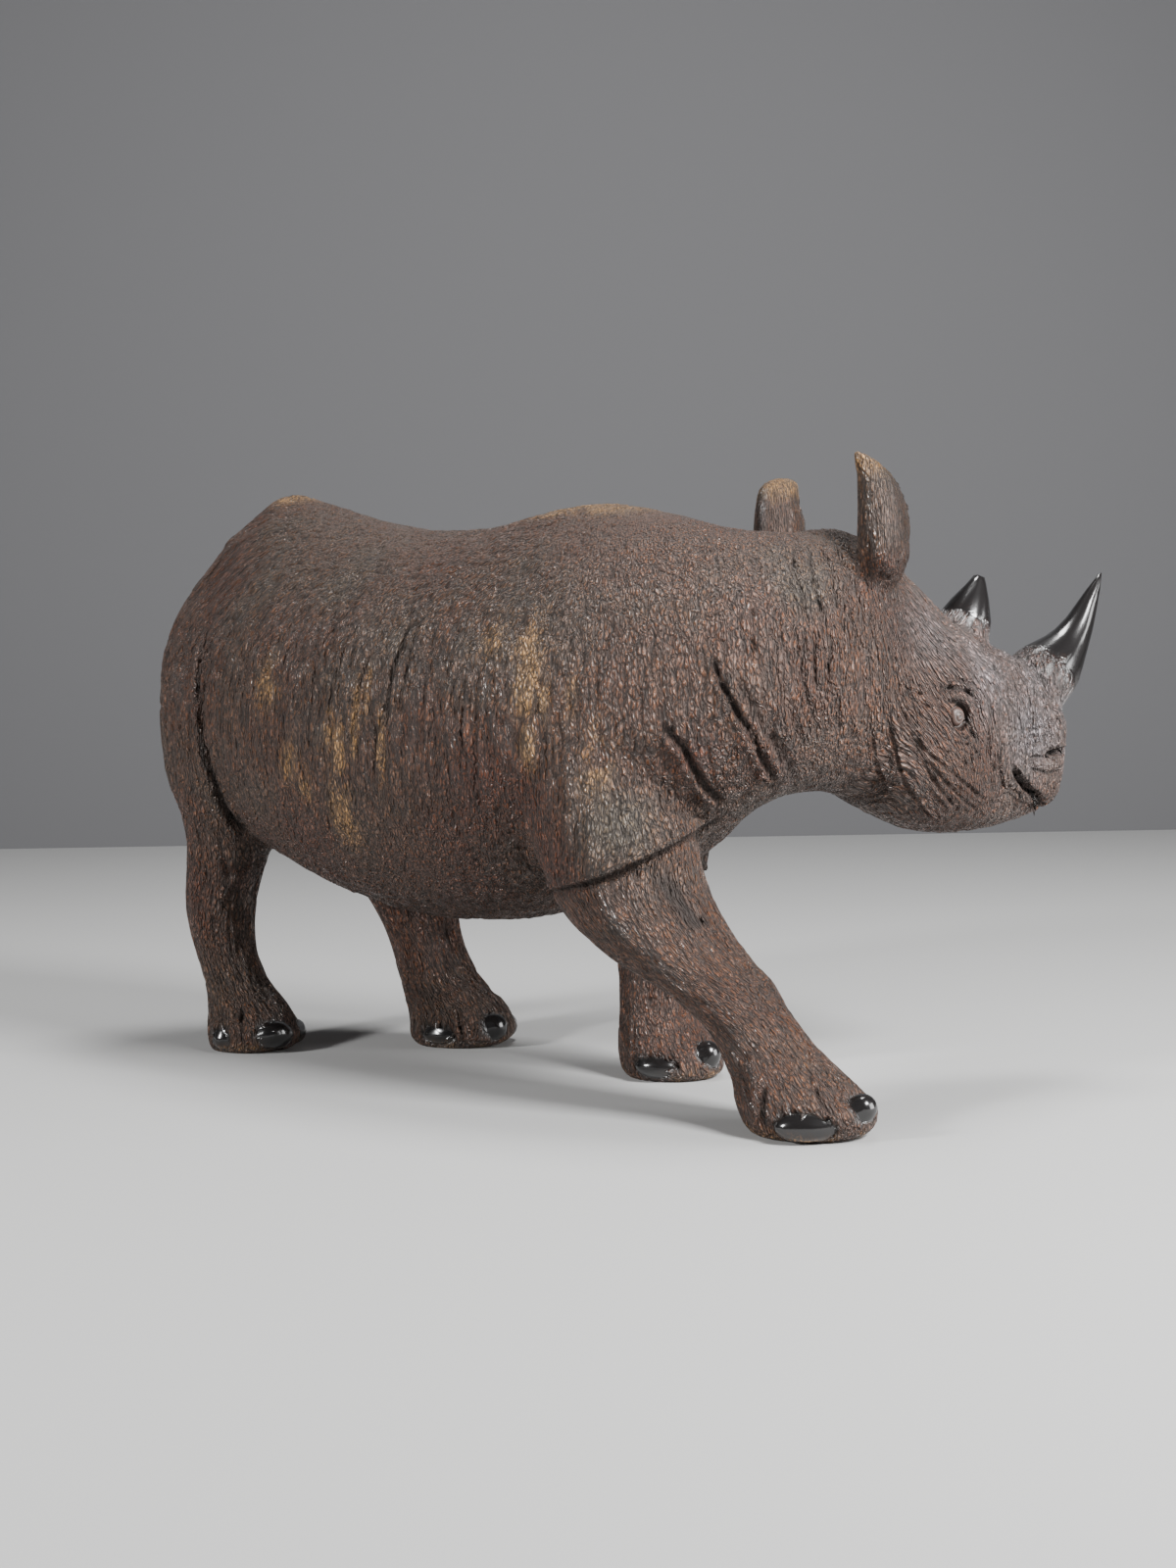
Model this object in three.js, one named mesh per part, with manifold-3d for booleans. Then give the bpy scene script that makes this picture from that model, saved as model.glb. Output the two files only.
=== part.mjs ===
// A carved wooden rhinoceros, walking, with its head turned to its left.
// The whole animal is one solid: trunk, legs, ears, horns, toenails and tail are cut from one block.
// Millimetres, +X is the way the body walks, +Y its left side, +Z up.
// The origin is under the middle of the animal's outline, on the surface that it stands on.

import * as THREE from "three";
import { mergeVertices } from "three/addons/utils/BufferGeometryUtils.js";
import Module from "manifold-3d";

// Driving dimensions.
const bodyLength = 580; // over all, from the rump to the outer forefoot
const bodyWidth = 208; // across the barrel
const shoulderHeight = 338; // ground to the top of the shoulder
const headLength = 151; // from between the ears to the tip of the nose
const headWidth = 104; // across the brow
const headTurn = 68; // degrees from the line of the body to the line of the head
const frontHornLength = 78; // along its curve, from the skin to the tip
const frontHornBase = 20; // radius where it leaves the nose
const rearHornLength = 34;
const rearHornBase = 15.5;
const frontHornTip = 1.3; // radius left at each worn tip
const rearHornTip = 2.6;
const earSink = 36; // from the top of the head down to the roots of the ears
const earHeight = 75; // above the roots
const earWidth = 30;
const earWall = 4.5;
const earSpread = 43; // from the middle of the head to the middle of each ear
const farEarSetBack = 16; // the left ear is turned back further
const toeSpread = 58; // degrees between neighbouring toes
const toeWidth = 31;
const toeHeight = 30;
const toenailWidth = 24;
const toenailHeight = 15;
const toenailSwell = 3.5; // how far a nail stands out of the foot
const toenailRoot = 3; // how deep it sits in the foot
const toeSlitWidth = 4.5;
const toeSlitDepth = 4;
const tailThickness = 12;
const tailLength = 105;
const skinFoldWidth = 5; // mouth of the deep folds of the neck and rump
const skinFoldDepth = 3.5;
const eyeballRadius = 5.5;
const lidWidth = 3.2;
const lidGrooveWidth = 3.5;
const nostrilWidth = 5;
const nostrilRimWidth = 4.8;
const mouthWidth = 4;
const mouthDepth = 7;

// Mesh fineness.
const trunkSides = 30;
const legSides = 16;
const hornSides = 10;
const earSides = 10;

// The tables below are drawn for one animal, and stretched to the sizes asked for.
const stretch = {
  long: bodyLength / 580,
  wide: bodyWidth / 208,
  high: shoulderHeight / 338,
  headLong: headLength / 151,
  headWide: headWidth / 104,
};
const degrees = Math.PI / 180;

const wasm = await Module();
wasm.setup();

function vec(x, y, z) {
  return new THREE.Vector3(x, y, z);
}

// A point of the body that a table gives.
function place([x, y, z]) {
  return vec(x * stretch.long, y * stretch.wide, z * stretch.high);
}

const up = vec(0, 0, 1);

// The place midway between the ears, and a point of the head: ahead of it, to its left, above ground.
const headRoot = place([185, 56, 0]);
const headAhead = vec(Math.cos(headTurn * degrees), Math.sin(headTurn * degrees), 0);
const headLeft = vec(-Math.sin(headTurn * degrees), Math.cos(headTurn * degrees), 0);

function onHead(ahead, left, height) {
  const point = vec(headRoot.x, headRoot.y, height);
  return point.addScaledVector(headAhead, ahead).addScaledVector(headLeft, left);
}

// The trunk from rump to neck, as upright slices across the line of the back. Each slice gives x and y of
// its middle, the way it faces, its top, widest level and bottom, its half width, and how square it is above
// and below, where 2 is an ellipse.
const trunkSlices = [
  [-291, 0, 0, 284, 252, 216, 16, 2, 2],
  [-287, 0, 0, 301, 250, 196, 40, 1.8, 2],
  [-273, 0, 0, 321, 246, 170, 60, 1.55, 2],
  [-252, 0, 0, 340, 239, 151, 70, 1.45, 2.1],
  [-228, 0, 0, 356, 230, 137, 76, 1.42, 2.1],
  [-206, 0, 0, 362, 222, 127, 82, 1.5, 2.1],
  [-168, 0, 0, 352, 211, 114, 91, 1.75, 2.1],
  [-126, 0, 0, 340, 202, 102, 99, 1.95, 2.1],
  [-69, 0, 0, 330.5, 197, 91.5, 104, 2.1, 2.1],
  [-10, 0, 0, 329.5, 196, 92, 103, 2.1, 2.1],
  [30, 0, 0, 335.5, 199, 99, 98, 2.05, 2.1],
  [69, 0, 0, 338.5, 206, 115, 91, 2, 2],
  [113, 0, 2, 331, 214, 128, 82, 2, 2],
  [148, 2, 13, 322, 224, 150, 71, 2, 2],
  [175, 20, 41, 317, 236, 170, 59, 2, 2],
];

// The head from the poll to the nose, in the same way, but placed by its distance ahead of the ears.
const headSlices = [
  [0, 320, 242, 171, 52, 2, 2.1],
  [24, 312, 236, 160, 52, 1.9, 2.2],
  [52, 289, 224, 148, 49, 1.85, 2.3],
  [79, 267, 213, 144.5, 43, 1.85, 2.3],
  [105, 255, 205, 146, 35, 1.9, 2.2],
  [124, 247, 199, 151, 29, 2, 2.2],
  [138, 239, 195, 156, 25, 2.2, 2.2],
  [146.5, 230, 192, 160, 20, 2.4, 2.4],
  [151, 217, 190, 167, 12, 2.2, 2.2],
];

// Masses that swell the skin of the trunk and head, with soft edges: the middle, its reach and its rise.
const bodySwellings = [
  [84, 86, 212, 58, 7],
  [-222, 82, 232, 60, 5],
].flatMap(([x, y, z, reach, rise]) => [
  { at: place([x, -y, z]), reach: reach * stretch.long, rise: rise * stretch.wide },
  { at: place([x, y, z]), reach: reach * stretch.long, rise: rise * stretch.wide },
]);
const headSwellings = [
  [36, 47, 192, 32, 4],
  [54, 39, 240, 17, 5],
  [144, 16, 203, 13, 3],
].flatMap(([ahead, out, height, reach, rise]) =>
  [-out, out].map((left) => ({
    at: onHead(ahead * stretch.headLong, left * stretch.headWide, height * stretch.high),
    reach: reach * stretch.headLong,
    rise: rise * stretch.headWide,
  })),
);
const swellings = [...bodySwellings, ...headSwellings];

// Each leg from the sole up, as level slices: x, y, z of the middle, then its reach ahead, behind and aside.
// The turn is the way its foot points, and its toes are spread round that.
const legs = {
  rightHind: {
    turn: -20,
    slices: [
      [-206, -48, 0, 27, 25, 25],
      [-204, -48, 5, 34, 29, 29],
      [-204, -48, 14, 34, 29, 30],
      [-208, -48, 26, 28, 25, 26],
      [-219, -48, 43, 21, 20, 21],
      [-230, -48, 65, 19, 20, 21],
      [-232, -48, 91, 20, 23, 24],
      [-227, -48, 117, 24, 26, 27],
      [-221, -48, 143, 33, 33, 32],
      [-216, -46, 175, 49, 51, 40],
      [-214, -44, 215, 56, 61, 45],
      [-214, -42, 245, 51, 62, 40],
      [-216, -36, 270, 36, 48, 25],
    ],
  },
  leftHind: {
    turn: -10,
    slices: [
      [-110, 48, 0, 30, 29, 27],
      [-109, 48, 5, 38, 34, 31],
      [-108, 48, 14, 39, 35, 32],
      [-113, 48, 26, 34, 33, 30],
      [-127, 48, 42, 27, 27, 26],
      [-138, 48, 64, 24, 25, 24],
      [-149, 48, 88, 28, 28, 28],
      [-162, 47, 115, 36, 36, 33],
      [-180, 45, 150, 48, 48, 40],
      [-198, 43, 190, 56, 64, 45],
      [-208, 42, 235, 54, 64, 43],
      [-214, 36, 270, 36, 44, 25],
    ],
  },
  rightFore: {
    turn: 0,
    slices: [
      [239, -44, 0, 29, 31, 26],
      [239, -44, 5, 37, 35, 31],
      [236, -44, 15, 41, 37, 32],
      [227, -43, 27, 35, 33, 28],
      [213, -42, 42, 26, 29, 25],
      [199, -42, 56, 25, 27, 26],
      [179, -43, 71, 31, 34, 30],
      [158, -44, 86, 35, 47, 35],
      [140, -45, 104, 37, 56, 38],
      [127, -46, 124, 37, 57, 40],
      [117, -46, 150, 40, 52, 41],
      [106, -46, 185, 42, 54, 40],
      [96, -44, 225, 40, 52, 36],
    ],
  },
  leftFore: {
    turn: -8,
    slices: [
      [77, 40, 0, 27, 26, 25],
      [77, 40, 5, 34, 30, 29],
      [75, 40, 14, 34, 29, 30],
      [70, 40, 27, 28, 25, 26],
      [67, 40, 44, 22, 22, 23],
      [68, 41, 66, 24, 24, 25],
      [70, 42, 90, 23, 30, 29],
      [70, 44, 118, 18, 38, 33],
      [70, 45, 150, 20, 44, 37],
      [74, 44, 190, 26, 48, 38],
    ],
  },
};

// A closed mesh as a solid that can be joined and cut.
function solidOf(geometry) {
  const bare = geometry.clone();
  bare.deleteAttribute("normal");
  bare.deleteAttribute("uv");
  const merged = mergeVertices(bare, 1e-4);
  return new wasm.Manifold(
    new wasm.Mesh({
      numProp: 3,
      vertProperties: new Float32Array(merged.attributes.position.array),
      triVerts: new Uint32Array(merged.index.array),
    }),
  );
}

function solidFrom(points, faces) {
  const geometry = new THREE.BufferGeometry();
  const numbers = points.flatMap((p) => [p.x, p.y, p.z]);
  geometry.setAttribute("position", new THREE.Float32BufferAttribute(numbers, 3));
  geometry.setIndex(faces.flat());
  return solidOf(geometry);
}

// A table read between its rows, on a smooth curve through them.
function readTable(table, at) {
  const i = Math.min(Math.floor(at), table.length - 2);
  const t = at - i;
  const row = (k) => table[Math.max(0, Math.min(table.length - 1, k))];
  return row(i).map((_, column) => {
    const [before, from, to, after] = [-1, 0, 1, 2].map((k) => row(i + k)[column]);
    const slopeFrom = (to - before) / 2;
    const slopeTo = (after - from) / 2;
    return (
      (2 * t ** 3 - 3 * t ** 2 + 1) * from +
      (t ** 3 - 2 * t ** 2 + t) * slopeFrom +
      (3 * t ** 2 - 2 * t ** 3) * to +
      (t ** 3 - t ** 2) * slopeTo
    );
  });
}

// One ring of points round a middle. Each of its two directions has a reach on either side.
function ring(middle, across, acrossPlus, acrossMinus, upward, upPlus, upMinus, sides, powers = [2, 2]) {
  const [powerUp, powerDown] = powers;
  const points = [];
  for (let k = 0; k < sides; k++) {
    const angle = (2 * Math.PI * k) / sides;
    const c = Math.cos(angle);
    const s = Math.sin(angle);
    const power = s > 0 ? powerUp : powerDown;
    const reach = (Math.abs(c) ** power + Math.abs(s) ** power) ** (-1 / power);
    const point = middle.clone();
    point.addScaledVector(across, reach * c * (c > 0 ? acrossPlus : acrossMinus));
    point.addScaledVector(upward, reach * s * (s > 0 ? upPlus : upMinus));
    points.push(point);
  }
  return points;
}

function middleOf(points) {
  return points.reduce((sum, p) => sum.add(p), vec(0, 0, 0)).divideScalar(points.length);
}

// Skins a stack of rings and closes both ends on a point.
function skin(rings, start = middleOf(rings[0]), end = middleOf(rings[rings.length - 1])) {
  const sides = rings[0].length;
  const points = [start, ...rings.flat(), end];
  const last = points.length - 1;
  const at = (r, k) => 1 + r * sides + (k % sides);
  const faces = [];
  for (let k = 0; k < sides; k++) {
    faces.push([0, at(0, k + 1), at(0, k)]);
    faces.push([last, at(rings.length - 1, k), at(rings.length - 1, k + 1)]);
    for (let r = 0; r < rings.length - 1; r++) {
      faces.push([at(r, k), at(r, k + 1), at(r + 1, k)]);
      faces.push([at(r, k + 1), at(r + 1, k + 1), at(r + 1, k)]);
    }
  }
  const solid = solidFrom(points, faces);
  if (solid.volume() > 0) return solid;
  return solidFrom(points, faces.map(([a, b, c]) => [a, c, b]));
}

// A round bar along points, with a radius at each.
function bar(points, radii, across, sides) {
  const curve = new THREE.CatmullRomCurve3(points);
  const count = Math.ceil((points.length - 1) * 1.5);
  const rings = [];
  for (let i = 0; i <= count; i++) {
    const u = i / count;
    const [radius] = readTable(radii.map((r) => [r]), u * (radii.length - 1));
    const ahead = curve.getTangent(u);
    const upward = ahead.clone().cross(across).normalize();
    rings.push(ring(curve.getPoint(u), across, radius, radius, upward, radius, radius, sides));
  }
  return skin(rings);
}

function swell(point, outward) {
  for (const { at, reach, rise } of swellings) {
    point.addScaledVector(outward, rise * Math.exp(-(point.distanceToSquared(at) / reach ** 2)));
  }
}

// Trunk, neck and head as one skin.
function makeTrunk() {
  const all = [
    ...trunkSlices.map(([x, y, heading, top, widest, bottom, half, ...powers]) => {
      const middle = place([x, y, 0]);
      return [middle.x, middle.y, heading, top, widest, bottom, half * stretch.wide, ...powers];
    }),
    ...headSlices.map(([ahead, top, widest, bottom, half, ...powers]) => {
      const middle = onHead(ahead * stretch.headLong, 0, 0);
      return [middle.x, middle.y, headTurn, top, widest, bottom, half * stretch.headWide, ...powers];
    }),
  ];
  const rings = [];
  for (let i = 0; i <= (all.length - 1) * 2; i++) {
    const [x, y, heading, top, widest, bottom, half, ...powers] = readTable(all, i / 2);
    const left = vec(-Math.sin(heading * degrees), Math.cos(heading * degrees), 0);
    const middle = vec(x, y, widest * stretch.high);
    const rise = (top - widest) * stretch.high;
    const fall = (widest - bottom) * stretch.high;
    const points = ring(middle, left, half, half, up, rise, fall, trunkSides, powers);
    for (const point of points) swell(point, point.clone().sub(middle).normalize());
    rings.push(points);
  }
  return skin(rings);
}

// A round mass with its longest reach given each way, flattened to few faces.
function pebble(middle, across, halfWidth, out, halfDepth, halfHeight, sides = 6) {
  const rings = [-50, 0, 50].map((tilt) => {
    const c = Math.cos(tilt * degrees);
    const at = middle.clone().addScaledVector(up, halfHeight * Math.sin(tilt * degrees));
    return ring(at, across, halfWidth * c, halfWidth * c, out, halfDepth * c, halfDepth * c, sides);
  });
  const reach = up.clone().multiplyScalar(halfHeight);
  return skin(rings, middle.clone().sub(reach), middle.clone().add(reach));
}

function limbSlice([x, y, z, front, back, side]) {
  const { long, wide } = stretch;
  return { middle: place([x, y, z]), front: front * long, back: back * long, side: side * wide };
}

function makeLimb(slices) {
  return skin(
    slices.map(limbSlice).map(({ middle, front, back, side }) =>
      ring(middle, vec(0, 1, 0), side, side, vec(1, 0, 0), front, back, legSides),
    ),
  );
}

// The way out of a foot at a spread from its own turn: the direction, and the place of its rim on the ground.
function footRim({ slices, turn }, spread) {
  const { middle, front, back, side } = limbSlice(slices[2]);
  const angle = (turn + spread) * degrees;
  const out = vec(Math.cos(angle), Math.sin(angle), 0);
  const reach = 1 / Math.hypot(out.x / (out.x > 0 ? front : back), out.y / side);
  middle.setZ(0);
  return { out, middle, rim: middle.clone().addScaledVector(out, reach) };
}

function makeLeg(leg) {
  let solid = makeLimb(leg.slices);
  for (const spread of [-toeSpread, 0, toeSpread]) {
    const { out, rim } = footRim(leg, spread);
    const across = vec(-out.y, out.x, 0);
    const toe = rim.clone().addScaledVector(out, -toeHeight * 0.4).setZ(toeHeight / 2);
    solid = solid.add(pebble(toe, across, toeWidth / 2, out, toeHeight * 0.47, toeHeight / 2));
    const nail = rim.clone().addScaledVector(out, -toenailRoot).setZ(toenailHeight * 0.6);
    const depth = toenailRoot + toenailSwell;
    solid = solid.add(pebble(nail, across, toenailWidth / 2, out, depth, toenailHeight / 2));
  }
  return solid;
}

// A horn on the middle line of the head. Its rows give shares of its length ahead and up, and its thickness.
function makeHorn(foot, length, base, rows) {
  const along = rows.map(([ahead, rise]) =>
    foot.clone().addScaledVector(headAhead, length * ahead).addScaledVector(up, length * rise),
  );
  return bar(along, rows.map((row) => row[2] * base), headLeft, hornSides);
}

function makeHorns() {
  const frontFoot = onHead(headLength - 6, 0, 232 * stretch.high);
  const front = makeHorn(frontFoot, frontHornLength, frontHornBase, [
    [-0.13, -0.17, 1.05],
    [0, 0, 1],
    [0.13, 0.09, 0.78],
    [0.25, 0.22, 0.56],
    [0.41, 0.42, 0.35],
    [0.51, 0.62, 0.2],
    [0.58, 0.82, frontHornTip / frontHornBase],
  ]);
  const rearFoot = onHead(91.5 * stretch.headLong, 0, 261 * stretch.high);
  const rear = makeHorn(rearFoot, rearHornLength, rearHornBase, [
    [-0.14, -0.5, 1.05],
    [0, 0, 1],
    [0.1, 0.32, 0.68],
    [0.23, 0.64, 0.39],
    [0.31, 0.93, rearHornTip / rearHornBase],
  ]);
  return front.add(rear);
}

// An ear as level slices: share of its height, how far ahead its middle is, depth, width, how far drawn in.
const earSlices = [
  [-0.15, 10, 7, 6, 7],
  [-0.02, 9, 11.5, 11, 2],
  [0.18, 9, 15, 14.5, 0],
  [0.4, 9, 16, 15, 0],
  [0.6, 8, 15.5, 14, 0],
  [0.78, 4.2, 13, 11.5, 0],
  [0.9, -0.5, 9.5, 8, 0],
  [1, -6.5, 3.5, 3.5, 0],
];

// The lean is how far the tip is drawn back, and the blunt share widens a worn tip.
function makeEar({ side, height, setBack, lean, blunt }) {
  const root = headSlices[0][1] * stretch.high - earSink;
  const drawn = earWidth / 30;
  const straight = earSlices[2][1];
  const slice = ([share, ahead, depth, width, inward], wall) => {
    const worn = drawn * (share > 0.7 ? blunt : 1);
    const centre = (straight + (ahead - straight) * lean) * drawn - setBack + wall * 1.4;
    const halfWidth = width * worn - wall;
    const middle = onHead(centre, side * (earSpread - inward * drawn), root + height * share);
    const front = depth * worn - wall * 0.2;
    return ring(middle, headLeft, halfWidth, halfWidth, headAhead, front, depth * worn - wall, earSides);
  };
  const outside = skin(earSlices.map((row) => slice(row, 0)));
  const hollow = skin(earSlices.slice(2, 7).map((row) => slice(row, earWall)));
  return outside.subtract(hollow);
}

const ears = [
  { side: -1, height: earHeight, setBack: 0, lean: 1, blunt: 1 },
  { side: 1, height: earHeight * 0.88, setBack: farEarSetBack, lean: 0.25, blunt: 1.25 },
];

// The tail hangs down the middle of the rump, bowed a little way off it.
function makeTail() {
  const root = place([-290, 0, 300]);
  const bow = tailThickness / 2;
  const points = [0, 0.25, 0.5, 0.75, 1].map((share) =>
    vec(root.x - bow * Math.sin(share * Math.PI), 0, root.z - tailLength * share),
  );
  return bar(points, [0.9, 1, 0.85, 0.7, 0.5].map((share) => (share * tailThickness) / 2), vec(0, 1, 0), 6);
}

// The shoulders reach over the forelegs like sleeves. Each ends below in a hem, which is a sloping plane:
// x, y and z of a point of it, and its rise along X and Y.
const shoulders = [
  {
    hem: [99, -79, 124, 0.29, 0.3],
    slices: [
      [142, -44, 95, 46, 58, 41],
      [130, -45, 124, 45, 58, 44],
      [119, -46, 150, 47, 60, 45],
      [106, -45, 185, 48, 64, 46],
      [98, -43, 215, 45, 60, 45],
      [94, -38, 245, 36, 50, 38],
      [92, -31, 268, 24, 34, 27],
    ],
  },
  {
    hem: [76, 79, 120, 0.15, -0.3],
    slices: [
      [70, 44, 95, 20, 44, 37],
      [70, 45, 124, 20, 46, 40],
      [72, 46, 150, 23, 52, 44],
      [76, 45, 185, 31, 58, 46],
      [84, 43, 215, 40, 57, 45],
      [92, 38, 245, 36, 50, 38],
      [92, 31, 268, 24, 34, 27],
    ],
  },
];

function makeShoulder({ hem, slices }) {
  const [x, y, z, riseX, riseY] = hem;
  const { x: hemX, y: hemY, z: hemZ } = place([x, y, z]);
  const wide = bodyLength / 2;
  const deep = shoulderHeight * 0.3;
  const below = new THREE.BoxGeometry(wide, wide, deep);
  const corners = below.attributes.position;
  for (let i = 0; i < corners.count; i++) {
    const [dx, dy, dz] = [corners.getX(i), corners.getY(i), corners.getZ(i)];
    corners.setXYZ(i, hemX + dx, hemY + dy, hemZ + dz - deep / 2 + riseX * dx + riseY * dy);
  }
  return makeLimb(slices).subtract(solidOf(below));
}

// A groove with sloping walls along points of the skin. It is cut straight towards a core inside the animal,
// and runs out to nothing at both ends.
function makeGroove(points, core, width, depth) {
  const last = points.length - 1;
  const rings = points.map((point, i) => {
    const ahead = points[Math.min(i + 1, last)].clone().sub(points[Math.max(i - 1, 0)]).normalize();
    const out = point.clone().sub(core).normalize();
    const across = out.clone().cross(ahead).normalize();
    const share = i === 0 || i === last ? 0.25 : 1;
    const corner = (aside, rise) =>
      point.clone().addScaledVector(across, width * share * aside).addScaledVector(out, rise);
    return [
      corner(0, -depth * share),
      corner(0.5, width * 0.1),
      corner(1, width),
      corner(-1, width),
      corner(-0.5, width * 0.1),
    ];
  });
  return skin(rings);
}

// Deep folds of the trunk's skin. Each has a core that it is cut towards, and points of the skin in order.
const rumpFold = [
  [-211, 74, 270],
  [-206, 82, 248],
  [-201, 86, 222],
  [-196, 85, 190],
  [-194, 76, 160],
  [-183, 61, 141],
];
const trunkFolds = [
  { core: [-200, 0, 215], points: rumpFold.map(([x, y, z]) => [x, -y, z]) },
  { core: [-200, 0, 215], points: rumpFold },
  {
    core: [165, 5, 225],
    points: [[185, -50, 253], [194, -47, 233], [198, -36, 209], [198, -24, 193], [192, -8, 179]],
  },
  {
    core: [135, 0, 215],
    points: [[161, -69, 217], [167, -64, 207], [172, -57, 199], [173, -47, 185], [172, -26, 168]],
  },
  {
    core: [190, 30, 235],
    points: [[216, -12, 262], [217, -14, 243], [217, -14, 229], [217, -7, 216], [216, 1, 205]],
  },
  { core: [190, 45, 235], points: [[224, 3, 256], [223, 1, 235], [222, 7, 214], [217, 22, 194]] },
  { core: [165, 25, 230], points: [[134, 62, 268], [135, 66, 245], [136, 65, 222], [140, 58, 200]] },
];

// The features of the head are drawn on its right side: distances ahead, out from the middle, above ground.
const eyeAt = [53.5, 50, 213];
const lidGroove = [
  [33, 52.5, 228],
  [48, 51.7, 228.5],
  [59, 49.2, 226.5],
  [67.5, 46.7, 222],
  [70, 46.1, 215],
  [72, 45.4, 209],
  [77, 43.8, 204],
];
const upperLid = [
  [38, 51.8, 223.5],
  [51, 50.8, 224],
  [60.5, 48.4, 221.5],
  [65, 47.2, 216],
  [67, 46.4, 210],
  [70, 45.2, 205],
];
const lowerLid = [[42, 51.5, 219], [45.5, 51.2, 214], [49, 50.6, 208], [58, 48.2, 203.5], [67, 45.4, 199]];
const nostril = [[128, 27.6, 187.5], [136, 25.6, 190], [142, 23.4, 192], [147, 18, 192]];
const nostrilRim = [[113, 30, 187.5], [120, 29, 192.5], [129, 27, 195.5], [139, 24, 196.5], [146, 17, 196]];
const mouthLine = [[107, 32, 182], [110, 30, 176], [120, 25, 169.5], [133, 18, 163.5], [139, 8, 159]];

function headPoint([ahead, out, height], side, raised = 0) {
  return onHead(ahead * stretch.headLong, side * (out * stretch.headWide + raised), height * stretch.high);
}

// What stands out of the head on one side, and what is cut into it.
function makeFaceRelief(side) {
  const out = headLeft.clone().multiplyScalar(side);
  const eye = headPoint(eyeAt, side, -eyeballRadius * 0.55);
  const lids = [upperLid, lowerLid].map((line) => {
    const points = line.map((point) => headPoint(point, side, -lidWidth * 0.3));
    return bar(points, points.map((_, i) => (lidWidth / 2) * (i % (points.length - 1) ? 1 : 0.5)), out, 5);
  });
  const rim = nostrilRim.map((point) => headPoint(point, side, -nostrilRimWidth / 8));
  return [
    pebble(eye, headAhead, eyeballRadius, headLeft, eyeballRadius, eyeballRadius * 1.15),
    ...lids,
    bar(rim, rim.map(() => nostrilRimWidth / 2), out, 5),
  ];
}

function makeFaceCuts(side) {
  const socket = headPoint(eyeAt, side, eyeballRadius * 0.2);
  const onSide = (line) => line.map((point) => headPoint(point, side));
  return [
    pebble(socket, headAhead, eyeballRadius * 1.45, headLeft, eyeballRadius * 0.8, eyeballRadius * 1.65),
    makeGroove(onSide(lidGroove), headPoint([55, 0, 215], side), lidGrooveWidth, lidGrooveWidth),
    makeGroove(onSide(nostril), headPoint([125, 0, 192], side), nostrilWidth, nostrilWidth),
  ];
}

function makeMouth() {
  const rightSide = mouthLine.map((point) => headPoint(point, -1));
  const leftSide = mouthLine.map((point) => headPoint(point, 1)).reverse();
  const points = [...rightSide, headPoint([141, 0, 157], 1), ...leftSide];
  return makeGroove(points, headPoint([112, 0, 190], 1), mouthWidth, mouthDepth);
}

// The slits run up between the toes, and follow the foot as it draws in.
function makeToeSlits(leg) {
  return [-1.5, -0.5, 0.5].map((share) => {
    const { out, middle, rim } = footRim(leg, share * toeSpread);
    const points = [0.1, 0.55, 1.05].map((level) =>
      rim.clone().addScaledVector(out, -toeHeight * level * 0.12).setZ(toeHeight * level),
    );
    return makeGroove(points, middle.setZ(toeHeight * 0.67), toeSlitWidth, toeSlitDepth);
  });
}

const sides = [-1, 1];
const joined = [
  ...Object.values(legs).map(makeLeg),
  ...shoulders.map(makeShoulder),
  makeHorns(),
  ...ears.map(makeEar),
  makeTail(),
];
const cut = [
  ...Object.values(legs).flatMap(makeToeSlits),
  ...trunkFolds.map(({ core, points }) =>
    makeGroove(points.map(place), place(core), skinFoldWidth, skinFoldDepth),
  ),
  ...sides.flatMap(makeFaceCuts),
  makeMouth(),
];
let rhino = makeTrunk();
for (const piece of joined) rhino = rhino.add(piece);
for (const tool of cut) rhino = rhino.subtract(tool);
for (const piece of sides.flatMap(makeFaceRelief)) rhino = rhino.add(piece);

function geometryOf(solid) {
  const mesh = solid.getMesh();
  const geometry = new THREE.BufferGeometry();
  geometry.setAttribute("position", new THREE.BufferAttribute(new Float32Array(mesh.vertProperties), 3));
  geometry.setIndex(new THREE.BufferAttribute(new Uint32Array(mesh.triVerts), 1));
  return geometry;
}

// The middle of the outline, at the height of the soles, becomes the origin.
const { min, max } = rhino.boundingBox();
const centred = rhino.translate([-(min[0] + max[0]) / 2, -(min[1] + max[1]) / 2, -min[2]]);
const carving = new THREE.Mesh(
  geometryOf(centred),
  new THREE.MeshStandardMaterial({ color: 0x4a352b, roughness: 0.55, metalness: 0 }),
);
carving.name = "rhinoceros";
const group = new THREE.Group();
group.add(carving);
export default group;
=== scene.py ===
import bmesh
import bpy
import numpy as np
from mathutils import Matrix, Vector


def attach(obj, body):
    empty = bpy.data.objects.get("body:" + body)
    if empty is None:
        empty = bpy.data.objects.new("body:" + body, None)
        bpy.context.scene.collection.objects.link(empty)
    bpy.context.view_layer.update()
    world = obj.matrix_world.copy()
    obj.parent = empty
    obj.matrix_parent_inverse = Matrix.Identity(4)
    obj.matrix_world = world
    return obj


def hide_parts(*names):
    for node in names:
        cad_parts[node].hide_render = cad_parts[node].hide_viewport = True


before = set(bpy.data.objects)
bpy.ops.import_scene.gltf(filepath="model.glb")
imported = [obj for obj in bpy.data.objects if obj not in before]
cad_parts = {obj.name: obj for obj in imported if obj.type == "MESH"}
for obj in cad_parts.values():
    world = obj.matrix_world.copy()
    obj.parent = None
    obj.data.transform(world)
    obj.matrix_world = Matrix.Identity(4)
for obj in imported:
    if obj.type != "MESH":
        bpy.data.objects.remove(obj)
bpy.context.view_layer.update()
print("frame loaded")

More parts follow.
